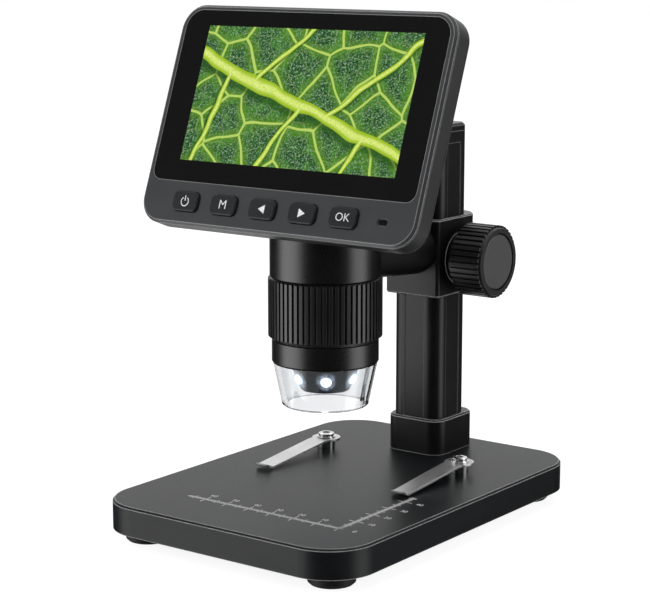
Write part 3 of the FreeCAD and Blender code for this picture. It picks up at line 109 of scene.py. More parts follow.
class Nodes:
    """A short way to write a material's nodes."""

    def __init__(self, name):
        self.material = bpy.data.materials.new(name)
        self.material.use_nodes = True
        self.tree = self.material.node_tree
        self.shader = self.tree.nodes["Principled BSDF"]
        self.output = self.tree.nodes["Material Output"]

    def add(self, kind, **settings):
        node = self.tree.nodes.new(kind)
        for name, value in settings.items():
            setattr(node, name, value)
        return node

    def link(self, source, target):
        self.tree.links.new(source, target)

    def feed(self, socket, value):
        """Link a socket to another one, or give it a value of its own."""
        if isinstance(value, bpy.types.NodeSocket):
            self.link(value, socket)
        else:
            socket.default_value = value

    def set(self, **values):
        """Feed the shader's sockets, with _ for the blanks in their names."""
        for name, value in values.items():
            self.feed(self.shader.inputs[name.replace("_", " ")], value)

    def place(self):
        """A point in the object's own frame: in metres, but in millimetres on the letters."""
        return self.add("ShaderNodeTexCoord").outputs["Object"]

    def split(self, vector):
        node = self.add("ShaderNodeSeparateXYZ")
        self.link(vector, node.inputs[0])
        return node.outputs

    def math(self, operation, first, second=0.0, third=0.0, clamp=False):
        node = self.add("ShaderNodeMath", operation=operation, use_clamp=clamp)
        for socket, value in zip(node.inputs, (first, second, third)):
            self.feed(socket, value)
        return node.outputs[0]

    def vector(self, operation, first, second=None, scale=None):
        node = self.add("ShaderNodeVectorMath", operation=operation)
        self.feed(node.inputs[0], first)
        if second is not None:
            self.feed(node.inputs[1], second)
        if scale is not None:
            self.feed(node.inputs["Scale"], scale)
        return node.outputs["Value" if operation in SCALAR_RESULTS else "Vector"]

    def spread(self, value, low, high, start=0.0, end=1.0):
        """From start, where the value is low, smoothly to end, where it is high."""
        node = self.add("ShaderNodeMapRange", interpolation_type="SMOOTHSTEP")
        for socket, number in zip(node.inputs[:5], (value, low, high, start, end)):
            self.feed(socket, number)
        return node.outputs[0]

    def mix(self, factor, first, second, kind="RGBA"):
        """The first where the factor is 0, and the second where it is 1."""
        node = self.add("ShaderNodeMix", data_type=kind)
        first_socket, second_socket, result = MIX_SOCKETS[kind]
        self.feed(node.inputs["Factor"], factor)
        self.feed(node.inputs[first_socket], first)
        self.feed(node.inputs[second_socket], second)
        return node.outputs[result]

    def noise(self, vector, scale, detail=3.0, rough=0.55, output="Fac"):
        node = self.add("ShaderNodeTexNoise")
        self.feed(node.inputs["Vector"], vector)
        node.inputs["Scale"].default_value = scale
        node.inputs["Detail"].default_value = detail
        node.inputs["Roughness"].default_value = rough
        return node.outputs[output]

    def cells(self, vector, scale, dimensions="3D", random=1.0):
        """How far a point is from the edge of its cell."""
        node = self.add("ShaderNodeTexVoronoi", feature="DISTANCE_TO_EDGE", voronoi_dimensions=dimensions)
        self.feed(node.inputs["Vector"], vector)
        node.inputs["Scale"].default_value = scale
        node.inputs["Randomness"].default_value = random
        return node.outputs["Distance"]

    def rounded(self, radius):
        """The surface's direction, as if its edges were rounded by a radius in metres."""
        node = self.add("ShaderNodeBevel", samples=BEVEL_SAMPLES)
        node.inputs["Radius"].default_value = radius
        return node.outputs[0]

    def bump(self, height, strength, depth, edge=0.0):
        """Raise the surface by a pattern, depth in metres, over edges rounded by a radius."""
        node = self.add("ShaderNodeBump")
        node.inputs["Strength"].default_value = strength
        node.inputs["Distance"].default_value = depth
        self.link(height, node.inputs["Height"])
        if edge:
            self.link(self.rounded(edge), node.inputs["Normal"])
        self.link(node.outputs[0], self.shader.inputs["Normal"])


def grey(level, cool=0.0):
    """A grey, with less red and more blue by the share that cool says."""
    return (level * (1 - cool), level, level * (1 + cool), 1.0)


# Kinds of surface. Depths and radii are in metres, and a grain is in cycles per metre.

FINE = 0.00001
COARSE = 0.00002
# The part of a noise's range that counts, from low to high.
NOISE_BAND = (0.3, 0.7)
NARROW_BAND = (0.35, 0.65)
LINE_BAND = (0.2, 0.8)

CLOUD_GRAIN = 45.0
MOULDED_EDGE = 0.00025
# Painted edge highlight: the radius that finds the edges, and the grey painted on them.
EDGE_HIGHLIGHT_RADIUS = 0.0004
EDGE_HIGHLIGHT_TONE = 0.32
# The cosine of an edge's bend where the painted edge highlight starts, and where it is full.
EDGE_HIGHLIGHT_BEND = (0.999, 0.96)

METAL_EDGE = 0.0002
METAL_LINES = 900.0
METAL_CLOUD = 60.0
METAL_GROOVE = 0.8
METAL_SHADE = 0.86

CHROME_EDGE = 0.00015
CHROME_GRAIN = 300.0
CHROME_SHADE = 0.9

TRACK_GRAIN = 420.0
# How far from the edge of a cell the track ends and the mask starts, as shares of a cell.
TRACK_EDGE = (0.02, 0.07)
TRACK_DEPTH = 0.00003
BOARD_GRAIN = 700.0
BOARD_ROUGH = (0.3, 0.45)

SMEAR_GRAIN = 220.0
PLASTIC_IOR = 1.47

INK_GRAIN = 1800.0
INK_WORN = 0.8


def moulded(name, dark, light, rough, grain, depth=FINE, specular=0.4, edge_highlight=0.0, highlight_tone=EDGE_HIGHLIGHT_TONE,
            where=None):
    """A moulded or coated surface: two tones, a fine grain and, if asked, a painted highlight along its
    edges.
    """
    n = Nodes(name)
    place = n.place()
    cloud = n.noise(place, CLOUD_GRAIN, detail=4.0)
    fine = n.noise(place, grain, detail=2.0, rough=0.6)
    tone = n.mix(n.spread(cloud, *NOISE_BAND), dark, light)
    # Painted highlight: the edges get a paler grey that stands in for light caught on them.
    if edge_highlight:
        flat = n.add("ShaderNodeNewGeometry").outputs["Normal"]
        turn = n.vector("DOT_PRODUCT", n.rounded(EDGE_HIGHLIGHT_RADIUS), flat)
        edge_highlight_mask = n.spread(turn, *EDGE_HIGHLIGHT_BEND, end=edge_highlight)
        if where:
            edge_highlight_mask = n.math("MULTIPLY", edge_highlight_mask, where(n))
        tone = n.mix(edge_highlight_mask, tone, grey(highlight_tone))
    n.set(Base_Color=tone, Roughness=n.spread(fine, *NOISE_BAND, rough - 0.04, rough + 0.05))
    n.set(Specular_IOR_Level=specular)
    n.bump(fine, strength=0.35, depth=depth, edge=MOULDED_EDGE)
    return n.material


def brushed(name, tone, rough, direction):
    """Metal with fine lines along the axis where the direction is small, or none if it is all 1."""
    n = Nodes(name)
    lines = n.noise(n.vector("MULTIPLY", n.place(), direction), METAL_LINES, rough=0.7)
    cloud = n.noise(n.place(), METAL_CLOUD)
    shade = n.mix(n.spread(cloud, *NOISE_BAND), grey(tone * METAL_SHADE), grey(tone))
    n.set(Base_Color=n.mix(n.spread(lines, *LINE_BAND), grey(tone * METAL_GROOVE), shade), Metallic=1.0)
    n.set(Roughness=n.spread(lines, *LINE_BAND, rough - 0.06, rough + 0.08))
    n.bump(lines, strength=0.12, depth=COARSE, edge=METAL_EDGE)
    return n.material


def polished(name, tone, rough):
    """Smooth metal, a little smeared."""
    n = Nodes(name)
    smear = n.noise(n.place(), CHROME_GRAIN, detail=4.0)
    n.set(Base_Color=n.mix(smear, grey(tone * CHROME_SHADE), grey(tone)), Metallic=1.0)
    n.set(Roughness=n.spread(smear, *NOISE_BAND, rough, rough + 0.06))
    n.bump(smear, strength=0.05, depth=FINE, edge=CHROME_EDGE)
    return n.material


def circuit(name, mask, copper):
    """A board: solder mask with fine tracks and pads."""
    n = Nodes(name)
    place = n.place()
    track = n.spread(n.cells(place, TRACK_GRAIN), *TRACK_EDGE)
    n.set(Base_Color=n.mix(track, copper, mask))
    n.set(Roughness=n.spread(n.noise(place, BOARD_GRAIN), *NOISE_BAND, *BOARD_ROUGH))
    n.bump(track, strength=0.2, depth=TRACK_DEPTH)
    return n.material


def clear_plastic(name, tint, rough, haze=1.0):
    """Clear plastic or glass; more haze makes its surface less even."""
    n = Nodes(name)
    smear = n.noise(n.place(), SMEAR_GRAIN)
    n.set(Base_Color=tint, Roughness=n.spread(smear, *NOISE_BAND, rough, rough + 0.03))
    n.set(Transmission_Weight=1.0, IOR=PLASTIC_IOR)
    n.bump(smear, strength=0.02 * haze, depth=COARSE * haze)
    return n.material


def print_ink(name, tone):
    """Printed ink, slightly uneven."""
    n = Nodes(name)
    worn = n.noise(n.place(), INK_GRAIN, detail=2.0)
    shade = n.mix(n.spread(worn, *NARROW_BAND), grey(tone * INK_WORN), grey(tone))
    n.set(Base_Color=shade, Roughness=0.5)
    n.bump(worn, strength=0.05, depth=FINE)
    return n.material


# The lit lamps, and the cone that holds them with a painted glow round each lamp

LAMP_MIDDLE = (1.0, 1.0, 1.0, 1.0)
LAMP_RIM = (0.62, 0.78, 1.0, 1.0)
PAINTED_HALO_COLOUR = (0.70, 0.82, 1.0, 1.0)
# Distances in millimetres between which a lamp, or the painted halo round it, changes.
LAMP_TINT = (0.7, 1.9)
LAMP_FADE = (0.7, 2.1)
PAINTED_HALO_FADE = (4.2, 1.8)
LAMP_STRENGTH = (9.0, 0.9)
PAINTED_HALO_STRENGTH = 0.8
PAINTED_SPARKLE_STRENGTH = (0.15, 1.0)
PAINTED_SPARKLE_GRAIN = 900.0
CONE_DARK = grey(0.03, 0.25)
CONE_LIGHT = grey(0.05, 0.25)
CONE_GRAIN = 1600.0


def lamp_distance(n):
    """How far a point is from the middle of the nearest lamp, in millimetres."""
    x, y, z = n.split(n.vector("SCALE", n.place(), scale=1.0 / MM))
    angle = n.math("ARCTAN2", x, n.math("SUBTRACT", BARREL_Y, y))
    half = math.pi / LAMP_COUNT
    turn = n.math("WRAP", n.math("SUBTRACT", angle, LAMP_FIRST), half, -half)
    across = n.math("MULTIPLY", turn, LAMP_RING)
    along = n.math("SUBTRACT", z, LAMP_HEIGHT)
    square = n.math("ADD", n.math("MULTIPLY", across, across), n.math("MULTIPLY", along, along))
    return n.math("SQRT", square)


def lamp_glow(name):
    """A lit lamp: white hot in the middle and bluer to its rim."""
    n = Nodes(name)
    away = lamp_distance(n)
    n.set(Base_Color=grey(0.7), Roughness=0.2)
    n.set(Emission_Color=n.mix(n.spread(away, *LAMP_TINT), LAMP_MIDDLE, LAMP_RIM))
    n.set(Emission_Strength=n.spread(away, *LAMP_FADE, *LAMP_STRENGTH))
    return n.material


def lamp_cone(name):
    """The dark cone that holds the lamps, with a painted glow and painted sparkles close round each of
    them.
    """
    n = Nodes(name)
    fine = n.noise(n.place(), CONE_GRAIN, detail=2.0)
    # Painted light: the cone glows, though it is no lamp, as if lit by the lamps beside it.
    painted_sparkle = n.spread(n.noise(n.place(), PAINTED_SPARKLE_GRAIN, rough=0.7), *NARROW_BAND, *PAINTED_SPARKLE_STRENGTH)
    glow = n.spread(lamp_distance(n), *PAINTED_HALO_FADE, end=PAINTED_HALO_STRENGTH)
    n.set(Base_Color=n.mix(fine, CONE_DARK, CONE_LIGHT), Roughness=0.3)
    n.set(Emission_Color=PAINTED_HALO_COLOUR, Emission_Strength=n.math("MULTIPLY", painted_sparkle, glow))
    n.bump(fine, strength=0.2, depth=FINE)
    return n.material


# The picture on the screen: a generic leaf close-up, green cells between pale veins.
# Places, widths and shifts are in millimetres, and a grain is in cycles per millimetre.

PICTURE_CENTRE = (0.6, 7.95)
PICTURE_HALF = (47.52, 25.53)
MIDRIB = ((-52.0, 24.0), (52.0, -12.0), 2.4)
SIDE_VEINS = (
    ((-31.0, 17.0), (-44.0, -24.0), 0.95),
    ((2.0, 5.5), (-17.0, -26.0), 1.05),
    ((33.0, -5.5), (20.0, -26.0), 0.85),
    ((-20.0, 13.0), (6.0, 38.0), 0.95),
    ((13.0, 1.5), (49.0, 30.0), 1.05),
)

WANDER_GRAIN = 0.05
WANDER_REACH = 7.0
NOISE_MIDDLE = (0.5, 0.5, 0.5)
ON_THE_GLASS = (1.0, 1.0, 0.0)
SPECKLE_GRAIN = 1.3
LEAF_BAND = (0.42, 0.57)
CORE_BAND = (0.42, 0.58)
BLOTCH_GRAIN = 0.12
GLINT_GRAIN = 1.4
GLINT_SHIFT = (31.0, 17.0, 0.0)
CELL_GRAIN = 0.06
CELL_SHIFT = (3.7, 1.9, 0.0)
SMALL_CELL_GRAIN = 0.17
CELL_RANDOM = 0.9
SHADOW_SHIFT = (0.9, 1.3, 0.0)

PICTURE_OFF = (0.0, 0.0, 0.0, 1.0)
LEAF_DARK = (0.002, 0.022, 0.004, 1.0)
LEAF_GREEN = (0.045, 0.16, 0.035, 1.0)
LEAF_SUNNY = (0.07, 0.27, 0.012, 1.0)
LEAF_GLINT = (0.30, 0.46, 0.32, 1.0)
CELL_BORDER = (0.10, 0.27, 0.008, 1.0)
SMALL_VEIN = (0.34, 0.50, 0.18, 1.0)
CELL_VEIN = (0.52, 0.70, 0.14, 1.0)
VEIN_SHADOW = (0.010, 0.075, 0.002, 1.0)
VEIN_EDGE = (0.34, 0.52, 0.015, 1.0)
VEIN_CORE = (0.58, 0.74, 0.10, 1.0)
VEIN_BRIGHT = (0.76, 0.88, 0.28, 1.0)

GLASS_TONE = 0.008
GLASS_SHINE = 0.35
GLASS_SMEAR = 60.0
SMEAR_BAND = (0.35, 0.75)
SMEAR_ROUGH = (0.07, 0.13)


def segment_distance(n, place, start, end):
    """How far a point is from a straight piece of vein."""
    first = Vector((*start, 0.0))
    run = Vector((*end, 0.0)) - first
    away = n.vector("SUBTRACT", place, tuple(first))
    along = n.math("DIVIDE", n.vector("DOT_PRODUCT", away, tuple(run)), run.length_squared, clamp=True)
    foot = n.vector("SCALE", tuple(run), scale=along)
    return n.vector("LENGTH", n.vector("SUBTRACT", away, foot))


def vein_distance(n, place):
    """Distance to the nearest drawn vein, as a share of its half width."""
    nearest = None
    for start, end, width in (MIDRIB, *SIDE_VEINS):
        share = n.math("DIVIDE", segment_distance(n, place, start, end), width)
        nearest = share if nearest is None else n.math("MINIMUM", nearest, share)
    return nearest


def screen_picture(n, flat):
    """The colour of the picture at a place on the glass."""
    wander = n.noise(flat, WANDER_GRAIN, detail=1.5, rough=0.5, output="Color")
    shift = n.vector("SUBTRACT", wander, NOISE_MIDDLE)
    place = n.vector("ADD", flat, n.vector("SCALE", shift, scale=WANDER_REACH))
    place = n.vector("MULTIPLY", place, ON_THE_GLASS)

    speckle = n.noise(place, SPECKLE_GRAIN, rough=0.75)
    blotch = n.noise(place, BLOTCH_GRAIN, detail=2.0)
    glints = n.noise(n.vector("ADD", place, GLINT_SHIFT), GLINT_GRAIN, detail=1.5, rough=0.6)
    wide = n.cells(n.vector("ADD", place, CELL_SHIFT), CELL_GRAIN, "2D", CELL_RANDOM)
    small = n.cells(place, SMALL_CELL_GRAIN, "2D", CELL_RANDOM)
    shade = vein_distance(n, n.vector("ADD", place, SHADOW_SHIFT))
    vein = vein_distance(n, place)

    # Each layer: its pattern, where it starts and where it is full, its share, and its colour.
    layers = (
        (blotch, 0.45, 0.62, 0.5, LEAF_SUNNY),
        (glints, 0.53, 0.64, 0.75, LEAF_GLINT),
        (wide, 0.24, 0.03, 0.6, CELL_BORDER),
        (small, 0.05, 0.008, 0.3, SMALL_VEIN),
        (wide, 0.036, 0.018, 0.9, CELL_VEIN),
        (shade, 1.9, 0.9, 0.75, VEIN_SHADOW),
        (vein, 1.05, 0.85, 1.0, VEIN_EDGE),
        (vein, 0.8, 0.15, 1.0, n.mix(n.spread(speckle, *CORE_BAND), VEIN_CORE, VEIN_BRIGHT)),
    )
    colour = n.mix(n.spread(speckle, *LEAF_BAND), LEAF_DARK, LEAF_GREEN)
    for pattern, start, full, share, paint in layers:
        colour = n.mix(n.spread(pattern, start, full, end=share), colour, paint)
    return colour


def screen_place(n):
    """A point in the screen's own frame, in millimetres."""
    mapping = n.add("ShaderNodeMapping", vector_type="TEXTURE")
    n.link(n.place(), mapping.inputs["Vector"])
    mapping.inputs["Location"].default_value = DISPLAY_AT * MM
    mapping.inputs["Rotation"].default_value = (DISPLAY_TURN, 0.0, 0.0)
    mapping.inputs["Scale"].default_value = (MM, MM, MM)
    return mapping.outputs[0]


def off_keys(n):
    """1 on the bezel, 0 on its band of keys: where the bezel's painted edge highlight goes."""
    parts = n.split(screen_place(n))
    beside = n.math("GREATER_THAN", n.math("ABSOLUTE", parts[0]), KEY_BAND_HALF)
    away = n.math("ABSOLUTE", n.math("SUBTRACT", parts[1], KEY_ROW))
    return n.math("MAXIMUM", beside, n.math("GREATER_THAN", away, KEY_BAND_UP))


def screen_glass(name):
    """Black glass with the lit picture behind its middle."""
    n = Nodes(name)
    flat = screen_place(n)
    parts = n.split(flat)
    inside = n.math("GREATER_THAN", parts[2], GLASS_BACK)
    for part, centre, half in zip(parts, PICTURE_CENTRE, PICTURE_HALF):
        away = n.math("ABSOLUTE", n.math("SUBTRACT", part, centre))
        inside = n.math("MULTIPLY", inside, n.math("LESS_THAN", away, half))
    smear = n.noise(n.place(), GLASS_SMEAR, detail=4.0)
    n.set(Base_Color=grey(GLASS_TONE), Roughness=n.spread(smear, *SMEAR_BAND, *SMEAR_ROUGH))
    n.set(Emission_Color=n.mix(inside, PICTURE_OFF, screen_picture(n, flat)), Emission_Strength=1.0)
    n.set(Specular_IOR_Level=GLASS_SHINE)
    return n.material


# What each node is made of

def dress(material, *names):
    """Give nodes one material, in place of any other."""
    for name in names:
        mesh = NODES[name].data
        mesh.materials.clear()
        mesh.materials.append(material)
        for face in mesh.polygons:
            face.material_index = 0


def dress_stand():
    # Base, column, collar and carriage block get painted highlights along their edges.
    base = moulded("base_satin", grey(0.006, 0.1), grey(0.009, 0.1), rough=0.36, grain=2600.0,
                   specular=0.15, edge_highlight=1.4, highlight_tone=0.4)
    cover = moulded("cover_plastic", grey(0.025), grey(0.034), rough=0.6, grain=900.0, depth=0.00003)
    rubber = moulded("foot_rubber", grey(0.006), grey(0.010), rough=0.6, grain=1100.0, depth=0.00004,
                     specular=0.2)
    column = moulded("column_black", grey(0.004), grey(0.007), rough=0.34, grain=2800.0, specular=0.22,
                     edge_highlight=0.45)
    block = moulded("block_black", grey(0.004), grey(0.007), rough=0.34, grain=2800.0, specular=0.22,
                    edge_highlight=1.0, highlight_tone=0.6)
    dress(base, "base_plate")
    dress(cover, "bottom_cover")
    dress(rubber, "rubber_feet")
    dress(column, "column", "column_cap")
    dress(block, "column_collar", "carriage_block")
    dress(brushed("clip_steel", 0.68, 0.38, (1.0, 0.04, 1.0)), "left_clip", "right_clip")
    dress(brushed("weight_steel", 0.4, 0.4, (0.05, 1.0, 1.0)), "base_weight")
    dress(polished("post_chrome", 0.72, 0.12), "clip_posts", "clip_screws")


def dress_head():
    # Painted shade: the arm is darker than its own black, standing in for the display's shadow on it.
    arm = moulded("arm_black", grey(0.002), grey(0.003), rough=0.45, grain=2800.0, specular=0.1)
    knob = moulded("knob_plastic", grey(0.008), grey(0.012), rough=0.38, grain=1800.0, specular=0.45)
    disc = moulded("knob_disc", grey(0.045), grey(0.055), rough=0.45, grain=1800.0, specular=0.45)
    barrel = moulded("barrel_black", grey(0.003), grey(0.005), rough=0.3, grain=3000.0, specular=0.5)
    ring = moulded("ring_plastic", grey(0.005), grey(0.008), rough=0.34, grain=2200.0, specular=0.5)
    inner = moulded("inner_plastic", grey(0.012), grey(0.02), rough=0.6, grain=1200.0)
    sensor = moulded("sensor_dark", (0.02, 0.025, 0.04, 1.0), (0.03, 0.035, 0.06, 1.0), rough=0.15,
                     grain=900.0)
    ribbon = moulded("ribbon_amber", (0.35, 0.14, 0.02, 1.0), (0.42, 0.18, 0.03, 1.0), rough=0.35,
                     grain=700.0)
    shroud = clear_plastic("shroud_clear", (0.76, 0.775, 0.79, 1.0), 0.02, haze=3.0)
    lens = clear_plastic("lens_glass", (0.93, 0.97, 0.98, 1.0), 0.01)
    dress(arm, "arm")
    dress(knob, "clamp_knob", "knob_flange")
    dress(disc, "knob_cap")
    dress(brushed("pad_brass", 0.5, 0.3, (1.0, 1.0, 1.0)), "clamp_pad")
    dress(barrel, "barrel_housing", "barrel_sleeve", "nose_sleeve", "lens_cell", "lens_retainer")
    dress(ring, "focus_ring")
    dress(inner, "sensor_mount")
    dress(sensor, "image_sensor")
    dress(ribbon, "flex_cable")
    dress(shroud, "light_shroud")
    dress(lens, "front_lens", "rear_lens", "ir_filter")
    dress(lamp_cone("nose_plastic"), "led_nose")
    dress(lamp_glow("lamp_white"), "leds")


def dress_screen():
    # Shell, bezel and indicator window get painted highlights along their edges, the bezel's kept off its
    # band of keys.
    shell = moulded("shell_plastic", grey(0.014), grey(0.020), rough=0.45, grain=1500.0, depth=COARSE,
                    edge_highlight=0.2)
    bezel = moulded("bezel_plastic", grey(0.031, 0.06), grey(0.038, 0.06), rough=0.42, grain=1500.0,
                    depth=COARSE, specular=0.42, edge_highlight=0.7, highlight_tone=0.45, where=off_keys)
    key = moulded("key_plastic", grey(0.012, 0.08), grey(0.016, 0.08), rough=0.46, grain=1600.0,
                  specular=0.25)
    window = moulded("window_smoke", grey(0.006), grey(0.010), rough=0.12, grain=900.0, specular=0.5,
                     edge_highlight=1.6)
    panel = moulded("panel_layers", grey(0.5), grey(0.6), rough=0.3, grain=800.0)
    board = circuit("board_green", (0.01, 0.10, 0.04, 1.0), (0.05, 0.2, 0.08, 1.0))
    dress(shell, "rear_shell")
    dress(bezel, "front_bezel")
    dress(key, *KEY_NODES)
    dress(window, "indicator_window")
    dress(panel, "lcd_panel")
    dress(board, "sensor_board", "led_board", "main_board", "key_board")
    dress(brushed("socket_steel", 0.5, 0.3, (0.1, 1.0, 1.0)), "usb_socket", "card_socket")
    dress(polished("dome_steel", 0.6, 0.2), "dome_switches")
    dress(polished("battery_foil", 0.6, 0.3), "battery")
    dress(screen_glass("screen_glass"), "cover_glass")


def dress_screws():
    screws = ("cover_screws", "foot_screws", "column_screws", "cap_screw", "collar_set_screw", "arm_screws",
              "barrel_screws", "clamp_screw", "head_screws", "housing_screws")
    dress(polished("screw_steel", 0.35, 0.28), *screws)


# Pieces of print

def finish_piece(obj, material, body):
    """Put a new piece in the scene, and say what it is made of and what it rides on."""
    obj.data.materials.append(material)
    bpy.context.collection.objects.link(obj)
    bpy.context.view_layer.update()
    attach(obj, body)


def add_plate(bm, outline, low, high):
    """A flat thin plate of any outline, as a closed solid."""
    base = [bm.verts.new((x, y, low)) for x, y in outline]
    top = [bm.verts.new((x, y, high)) for x, y in outline]
    bm.faces.new(list(reversed(base)))
    bm.faces.new(top)
    count = len(outline)
    for step in range(count):
        after = (step + 1) % count
        bm.faces.new((base[step], base[after], top[after], top[step]))


def plates(name, outlines, low, high, matrix, material, body):
    """One piece of print made of flat plates."""
    bm = bmesh.new()
    for outline in outlines:
        add_plate(bm, outline, low, high)
    bmesh.ops.recalc_face_normals(bm, faces=bm.faces)
    mesh = bpy.data.meshes.new(name)
    bm.to_mesh(mesh)
    bm.free()
    mesh.transform(matrix)
    finish_piece(bpy.data.objects.new(name, mesh), material, body)


def bar(x0, y0, x1, y1, width):
    """The four corners of a straight stroke between two points."""
    run = Vector((x1 - x0, y1 - y0))
    side = Vector((-run.y, run.x)).normalized() * width / 2
    return [(x0 - side.x, y0 - side.y), (x1 - side.x, y1 - side.y), (x1 + side.x, y1 + side.y),
            (x0 + side.x, y0 + side.y)]


ARC_STEPS = 28


def arc_strip(centre, radius, width, start, end):
    """Outlines along an arc, angles in degrees from the X axis."""
    strips = []
    for step in range(ARC_STEPS):
        angles = [math.radians(start + (end - start) * (step + part) / ARC_STEPS) for part in (0, 1)]
        corners = []
        for size, order in ((radius - width / 2, angles), (radius + width / 2, angles[::-1])):
            for angle in order:
                corners.append((centre[0] + size * math.cos(angle), centre[1] + size * math.sin(angle)))
        strips.append(corners)
    return strips


LETTER_THINNED = 0.008
LETTER_STEPS = 4


def words(name, text, height, matrix, thick, material, body):
    """One piece of print made of letters or numbers, centred on a place."""
    curve = bpy.data.curves.new(name, "FONT")
    curve.body = text
    curve.size = height
    curve.align_x = "CENTER"
    curve.align_y = "CENTER"
    curve.extrude = thick
    curve.offset = -LETTER_THINNED * height
    curve.resolution_u = LETTER_STEPS
    obj = bpy.data.objects.new(name, curve)
    obj.matrix_world = matrix
    finish_piece(obj, material, body)


PRINT_THICK = 0.03
SIGN_LINE = 0.36
POWER_RADIUS = 1.65
POWER_DROP = 0.15
POWER_ARC = (125.0, 415.0)
POWER_BAR = (0.15, 2.1)
ARROW_TIP = 1.55
ARROW_BACK = 1.35
ARROW_HALF = 1.6
# Which key, the sign's name, and the side that it points to.
ARROWS = ((2, "left_arrow", -1), (3, "right_arrow", 1))
# Which key, its letters, and their height.
LETTERS = ((1, "M", 4.8), (4, "OK", 4.2))


def key_print():
    """The signs on the five keys, each riding on its key."""
    white = print_ink("key_print", 0.85)
    low = KEY_TOP - PRINT_THICK
    high = KEY_TOP + PRINT_THICK
    matrix = display_matrix()
    centres = [(KEY_FIRST + step * KEY_PITCH, KEY_ROW) for step in range(len(KEY_NODES))]

    x, y = centres[0]
    power = arc_strip((x, y - POWER_DROP), POWER_RADIUS, SIGN_LINE, *POWER_ARC)
    power.append(bar(x, y + POWER_BAR[0], x, y + POWER_BAR[1], SIGN_LINE))
    plates("power_sign", power, low, high, matrix, white, KEY_NODES[0])

    for step, name, side in ARROWS:
        x, y = centres[step]
        back = x - side * ARROW_BACK
        arrow = [(x + side * ARROW_TIP, y), (back, y + ARROW_HALF), (back, y - ARROW_HALF)]
        plates(name, [arrow], low, high, matrix, white, KEY_NODES[step])

    for step, text, height in LETTERS:
        x, y = centres[step]
        name = text.lower() + "_sign"
        place = matrix @ Matrix.Translation((x, y, KEY_TOP))
        words(name, text, height, place, PRINT_THICK, white, KEY_NODES[step])


RULE_CORNER = (37.2, -54.0)
RULE_LONG = 67
RULE_UP = 46
RULE_PAST = 1.5
RULE_LINE = 0.22
RULE_BOLD = 0.3
RULE_LOW = -0.01
RULE_HIGH = 0.02
TICK_LINE = 0.3
# The length of the ticks that come every 1, 5 and 10 millimetres.
TICKS = {1: 2.0, 5: 3.4, 10: 6.2}
NUMBER_EVERY = 10
NUMBER_SIZE = 2.9
NUMBER_UP = 5.0
NUMBER_ASIDE = 6.4


def tick_half(step):
    """Half the length of the tick at a whole millimetre."""
    return max(size for every, size in TICKS.items() if step % every == 0) / 2


def stage_rule():
    """A millimetre rule along the stage's front and up its right side, with plain numbers."""
    ink = print_ink("rule_ink", 0.8)
    x0, y0 = RULE_CORNER
    strokes = [bar(x0 - RULE_LONG - RULE_PAST, y0, x0 + RULE_PAST, y0, RULE_LINE),
               bar(x0, y0 - RULE_PAST, x0, y0 + RULE_UP, RULE_BOLD)]
    for step in range(RULE_LONG + 1):
        half = tick_half(step)
        strokes.append(bar(x0 - step, y0 - half, x0 - step, y0 + half, TICK_LINE))
    for step in range(1, RULE_UP + 1):
        half = tick_half(step)
        strokes.append(bar(x0 - half, y0 + step, x0 + half, y0 + step, TICK_LINE))
    level = Matrix.Translation((0, 0, STAGE_TOP * MM)) @ Matrix.Scale(MM, 4)
    plates("stage_rule", strokes, RULE_LOW, RULE_HIGH, level, ink, "stand")

    numbers = []
    for step in range(NUMBER_EVERY, RULE_LONG + 1, NUMBER_EVERY):
        numbers.append(("x", step, x0 - step, y0 + NUMBER_UP))
    for step in range(0, RULE_UP, NUMBER_EVERY):
        numbers.append(("y", step, x0 + NUMBER_ASIDE, y0 + step))
    for axis, step, x, y in numbers:
        name = "rule_%s_%d" % (axis, step)
        place = level @ Matrix.Translation((x, y, 0.0))
        words(name, str(step), NUMBER_SIZE, place, RULE_HIGH, ink, "stand")


# Floor and light

# The floor's half size and how far it lies under the feet, in metres.
FLOOR_HALF = 4.0
FLOOR_DROP = 0.0002
FLOOR_TONE = 0.86
FLOOR_GLOW = 0.9
FLOOR_SHADOW = 0.3

AMBIENT_LEVEL = 0.5
STUDIO_DARK = 0.03
BOX_FOOT_FADE = 4.0
BOX_TOP_FADE = 12.0
# Soft boxes that only reflections see: direction, half width, fade, lowest and highest elevation, level.
SOFT_BOXES = (
    (-42.0, 12.0, 25.0, -60.0, 16.0, 3.6),
    (111.0, 10.0, 16.0, -60.0, 65.0, 2.9),
    (-143.0, 30.0, 45.0, 4.0, 60.0, 0.95),
    (-147.0, 8.0, 20.0, -60.0, 12.0, 1.3),
    (0.0, 180.0, 5.0, 38.0, 200.0, 0.9),
)

LAMP_AIM = Vector((0.0, 0.0, 0.09))
# Soft lamps: name, direction, height, distance, size and power.
# Directions are in degrees from above: 0 is in front and 90 is to the right.
SOFT_LAMPS = (
    ("front_left", -35.0, 0.6, 1.1, (0.7, 0.7), 6.0),
    ("right", 100.0, 0.5, 1.1, (0.5, 0.7), 3.0),
    ("top", -160.0, 1.3, 0.4, (0.8, 0.8), 8.0),
)


def seen_or_through(n):
    """1 for what the camera sees, straight or through something clear, and 0 for the rest."""
    path = n.add("ShaderNodeLightPath")
    return n.math("MAXIMUM", path.outputs["Is Camera Ray"], path.outputs["Is Transmission Ray"])


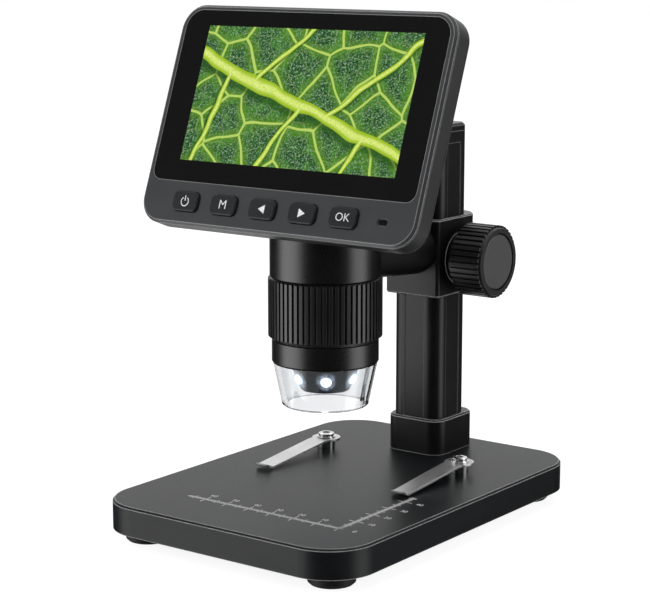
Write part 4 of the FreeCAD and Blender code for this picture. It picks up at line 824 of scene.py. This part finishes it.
def make_floor():
    """A white floor that keeps a faint shadow."""
    mesh = bpy.data.meshes.new("floor")
    size = FLOOR_HALF
    corners = [(-size, -size, 0), (size, -size, 0), (size, size, 0), (-size, size, 0)]
    mesh.from_pydata(corners, [], [(0, 1, 2, 3)])
    floor = bpy.data.objects.new("floor", mesh)
    bpy.context.collection.objects.link(floor)
    floor.location.z = -FLOOR_DROP
    floor.visible_glossy = False
    n = Nodes("floor_white")
    n.set(Base_Color=grey(FLOOR_TONE), Roughness=0.9, Specular_IOR_Level=0.0)
    glow = n.add("ShaderNodeEmission")
    glow.inputs["Strength"].default_value = FLOOR_GLOW / (1 - FLOOR_SHADOW)
    blend = n.add("ShaderNodeMixShader")
    n.link(n.math("MULTIPLY", seen_or_through(n), 1 - FLOOR_SHADOW), blend.inputs[0])
    n.link(n.shader.outputs[0], blend.inputs[1])
    n.link(glow.outputs[0], blend.inputs[2])
    n.link(blend.outputs[0], n.output.inputs["Surface"])
    mesh.materials.append(n.material)


class WorldNodes(Nodes):
    """The same short writing for the world's nodes."""

    def __init__(self, name):
        world = bpy.data.worlds.new(name)
        bpy.context.scene.world = world
        world.use_nodes = True
        self.tree = world.node_tree
        self.background = self.tree.nodes["Background"]


def soft_box(n, azimuth, elevation, middle, half, fade, low, high):
    """1 where a reflection meets the box, and fading to 0 round it."""
    apart = n.math("SUBTRACT", azimuth, math.radians(middle))
    apart = n.math("ABSOLUTE", n.math("WRAP", apart, math.pi, -math.pi))
    across = n.spread(apart, math.radians(half + fade), math.radians(half))
    over = n.spread(elevation, math.radians(low - BOX_FOOT_FADE), math.radians(low + BOX_FOOT_FADE))
    under = n.spread(elevation, math.radians(high), math.radians(high - BOX_TOP_FADE))
    return n.math("MULTIPLY", n.math("MULTIPLY", across, over), under)


def make_world():
    """White to the camera and through glass, even to matt surfaces, soft boxes to shiny ones."""
    n = WorldNodes("studio")
    x, y, z = n.split(n.add("ShaderNodeTexCoord").outputs["Generated"])
    azimuth = n.math("ARCTAN2", x, n.math("MULTIPLY", y, -1.0))
    elevation = n.math("ARCSINE", z)
    studio = STUDIO_DARK
    for *box, level in SOFT_BOXES:
        glow = n.math("MULTIPLY", soft_box(n, azimuth, elevation, *box), level)
        studio = n.math("ADD", glow, studio)

    glossy = n.add("ShaderNodeLightPath").outputs["Is Glossy Ray"]
    light = n.mix(glossy, AMBIENT_LEVEL, studio, "FLOAT")
    n.link(n.math("MAXIMUM", seen_or_through(n), light), n.background.inputs["Strength"])
    n.background.inputs["Color"].default_value = (1.0, 1.0, 1.0, 1.0)


def soft_light(name, azimuth, height, distance, size, power):
    """A soft lamp that reflections don't see."""
    data = bpy.data.lights.new(name, "AREA")
    data.shape = "RECTANGLE"
    data.size, data.size_y = size
    data.energy = power
    lamp = bpy.data.objects.new(name, data)
    turn = math.radians(azimuth)
    lamp.location = (math.sin(turn) * distance, -math.cos(turn) * distance, height)
    toward = LAMP_AIM - lamp.location
    lamp.rotation_euler = toward.to_track_quat("-Z", "Y").to_euler()
    lamp.visible_glossy = False
    bpy.context.collection.objects.link(lamp)


make_camera()
dress_stand()
dress_head()
dress_screen()
dress_screws()
key_print()
stage_rule()
make_floor()
make_world()
for lamp in SOFT_LAMPS:
    soft_light(*lamp)

bpy.context.scene.view_settings.view_transform = "Standard"
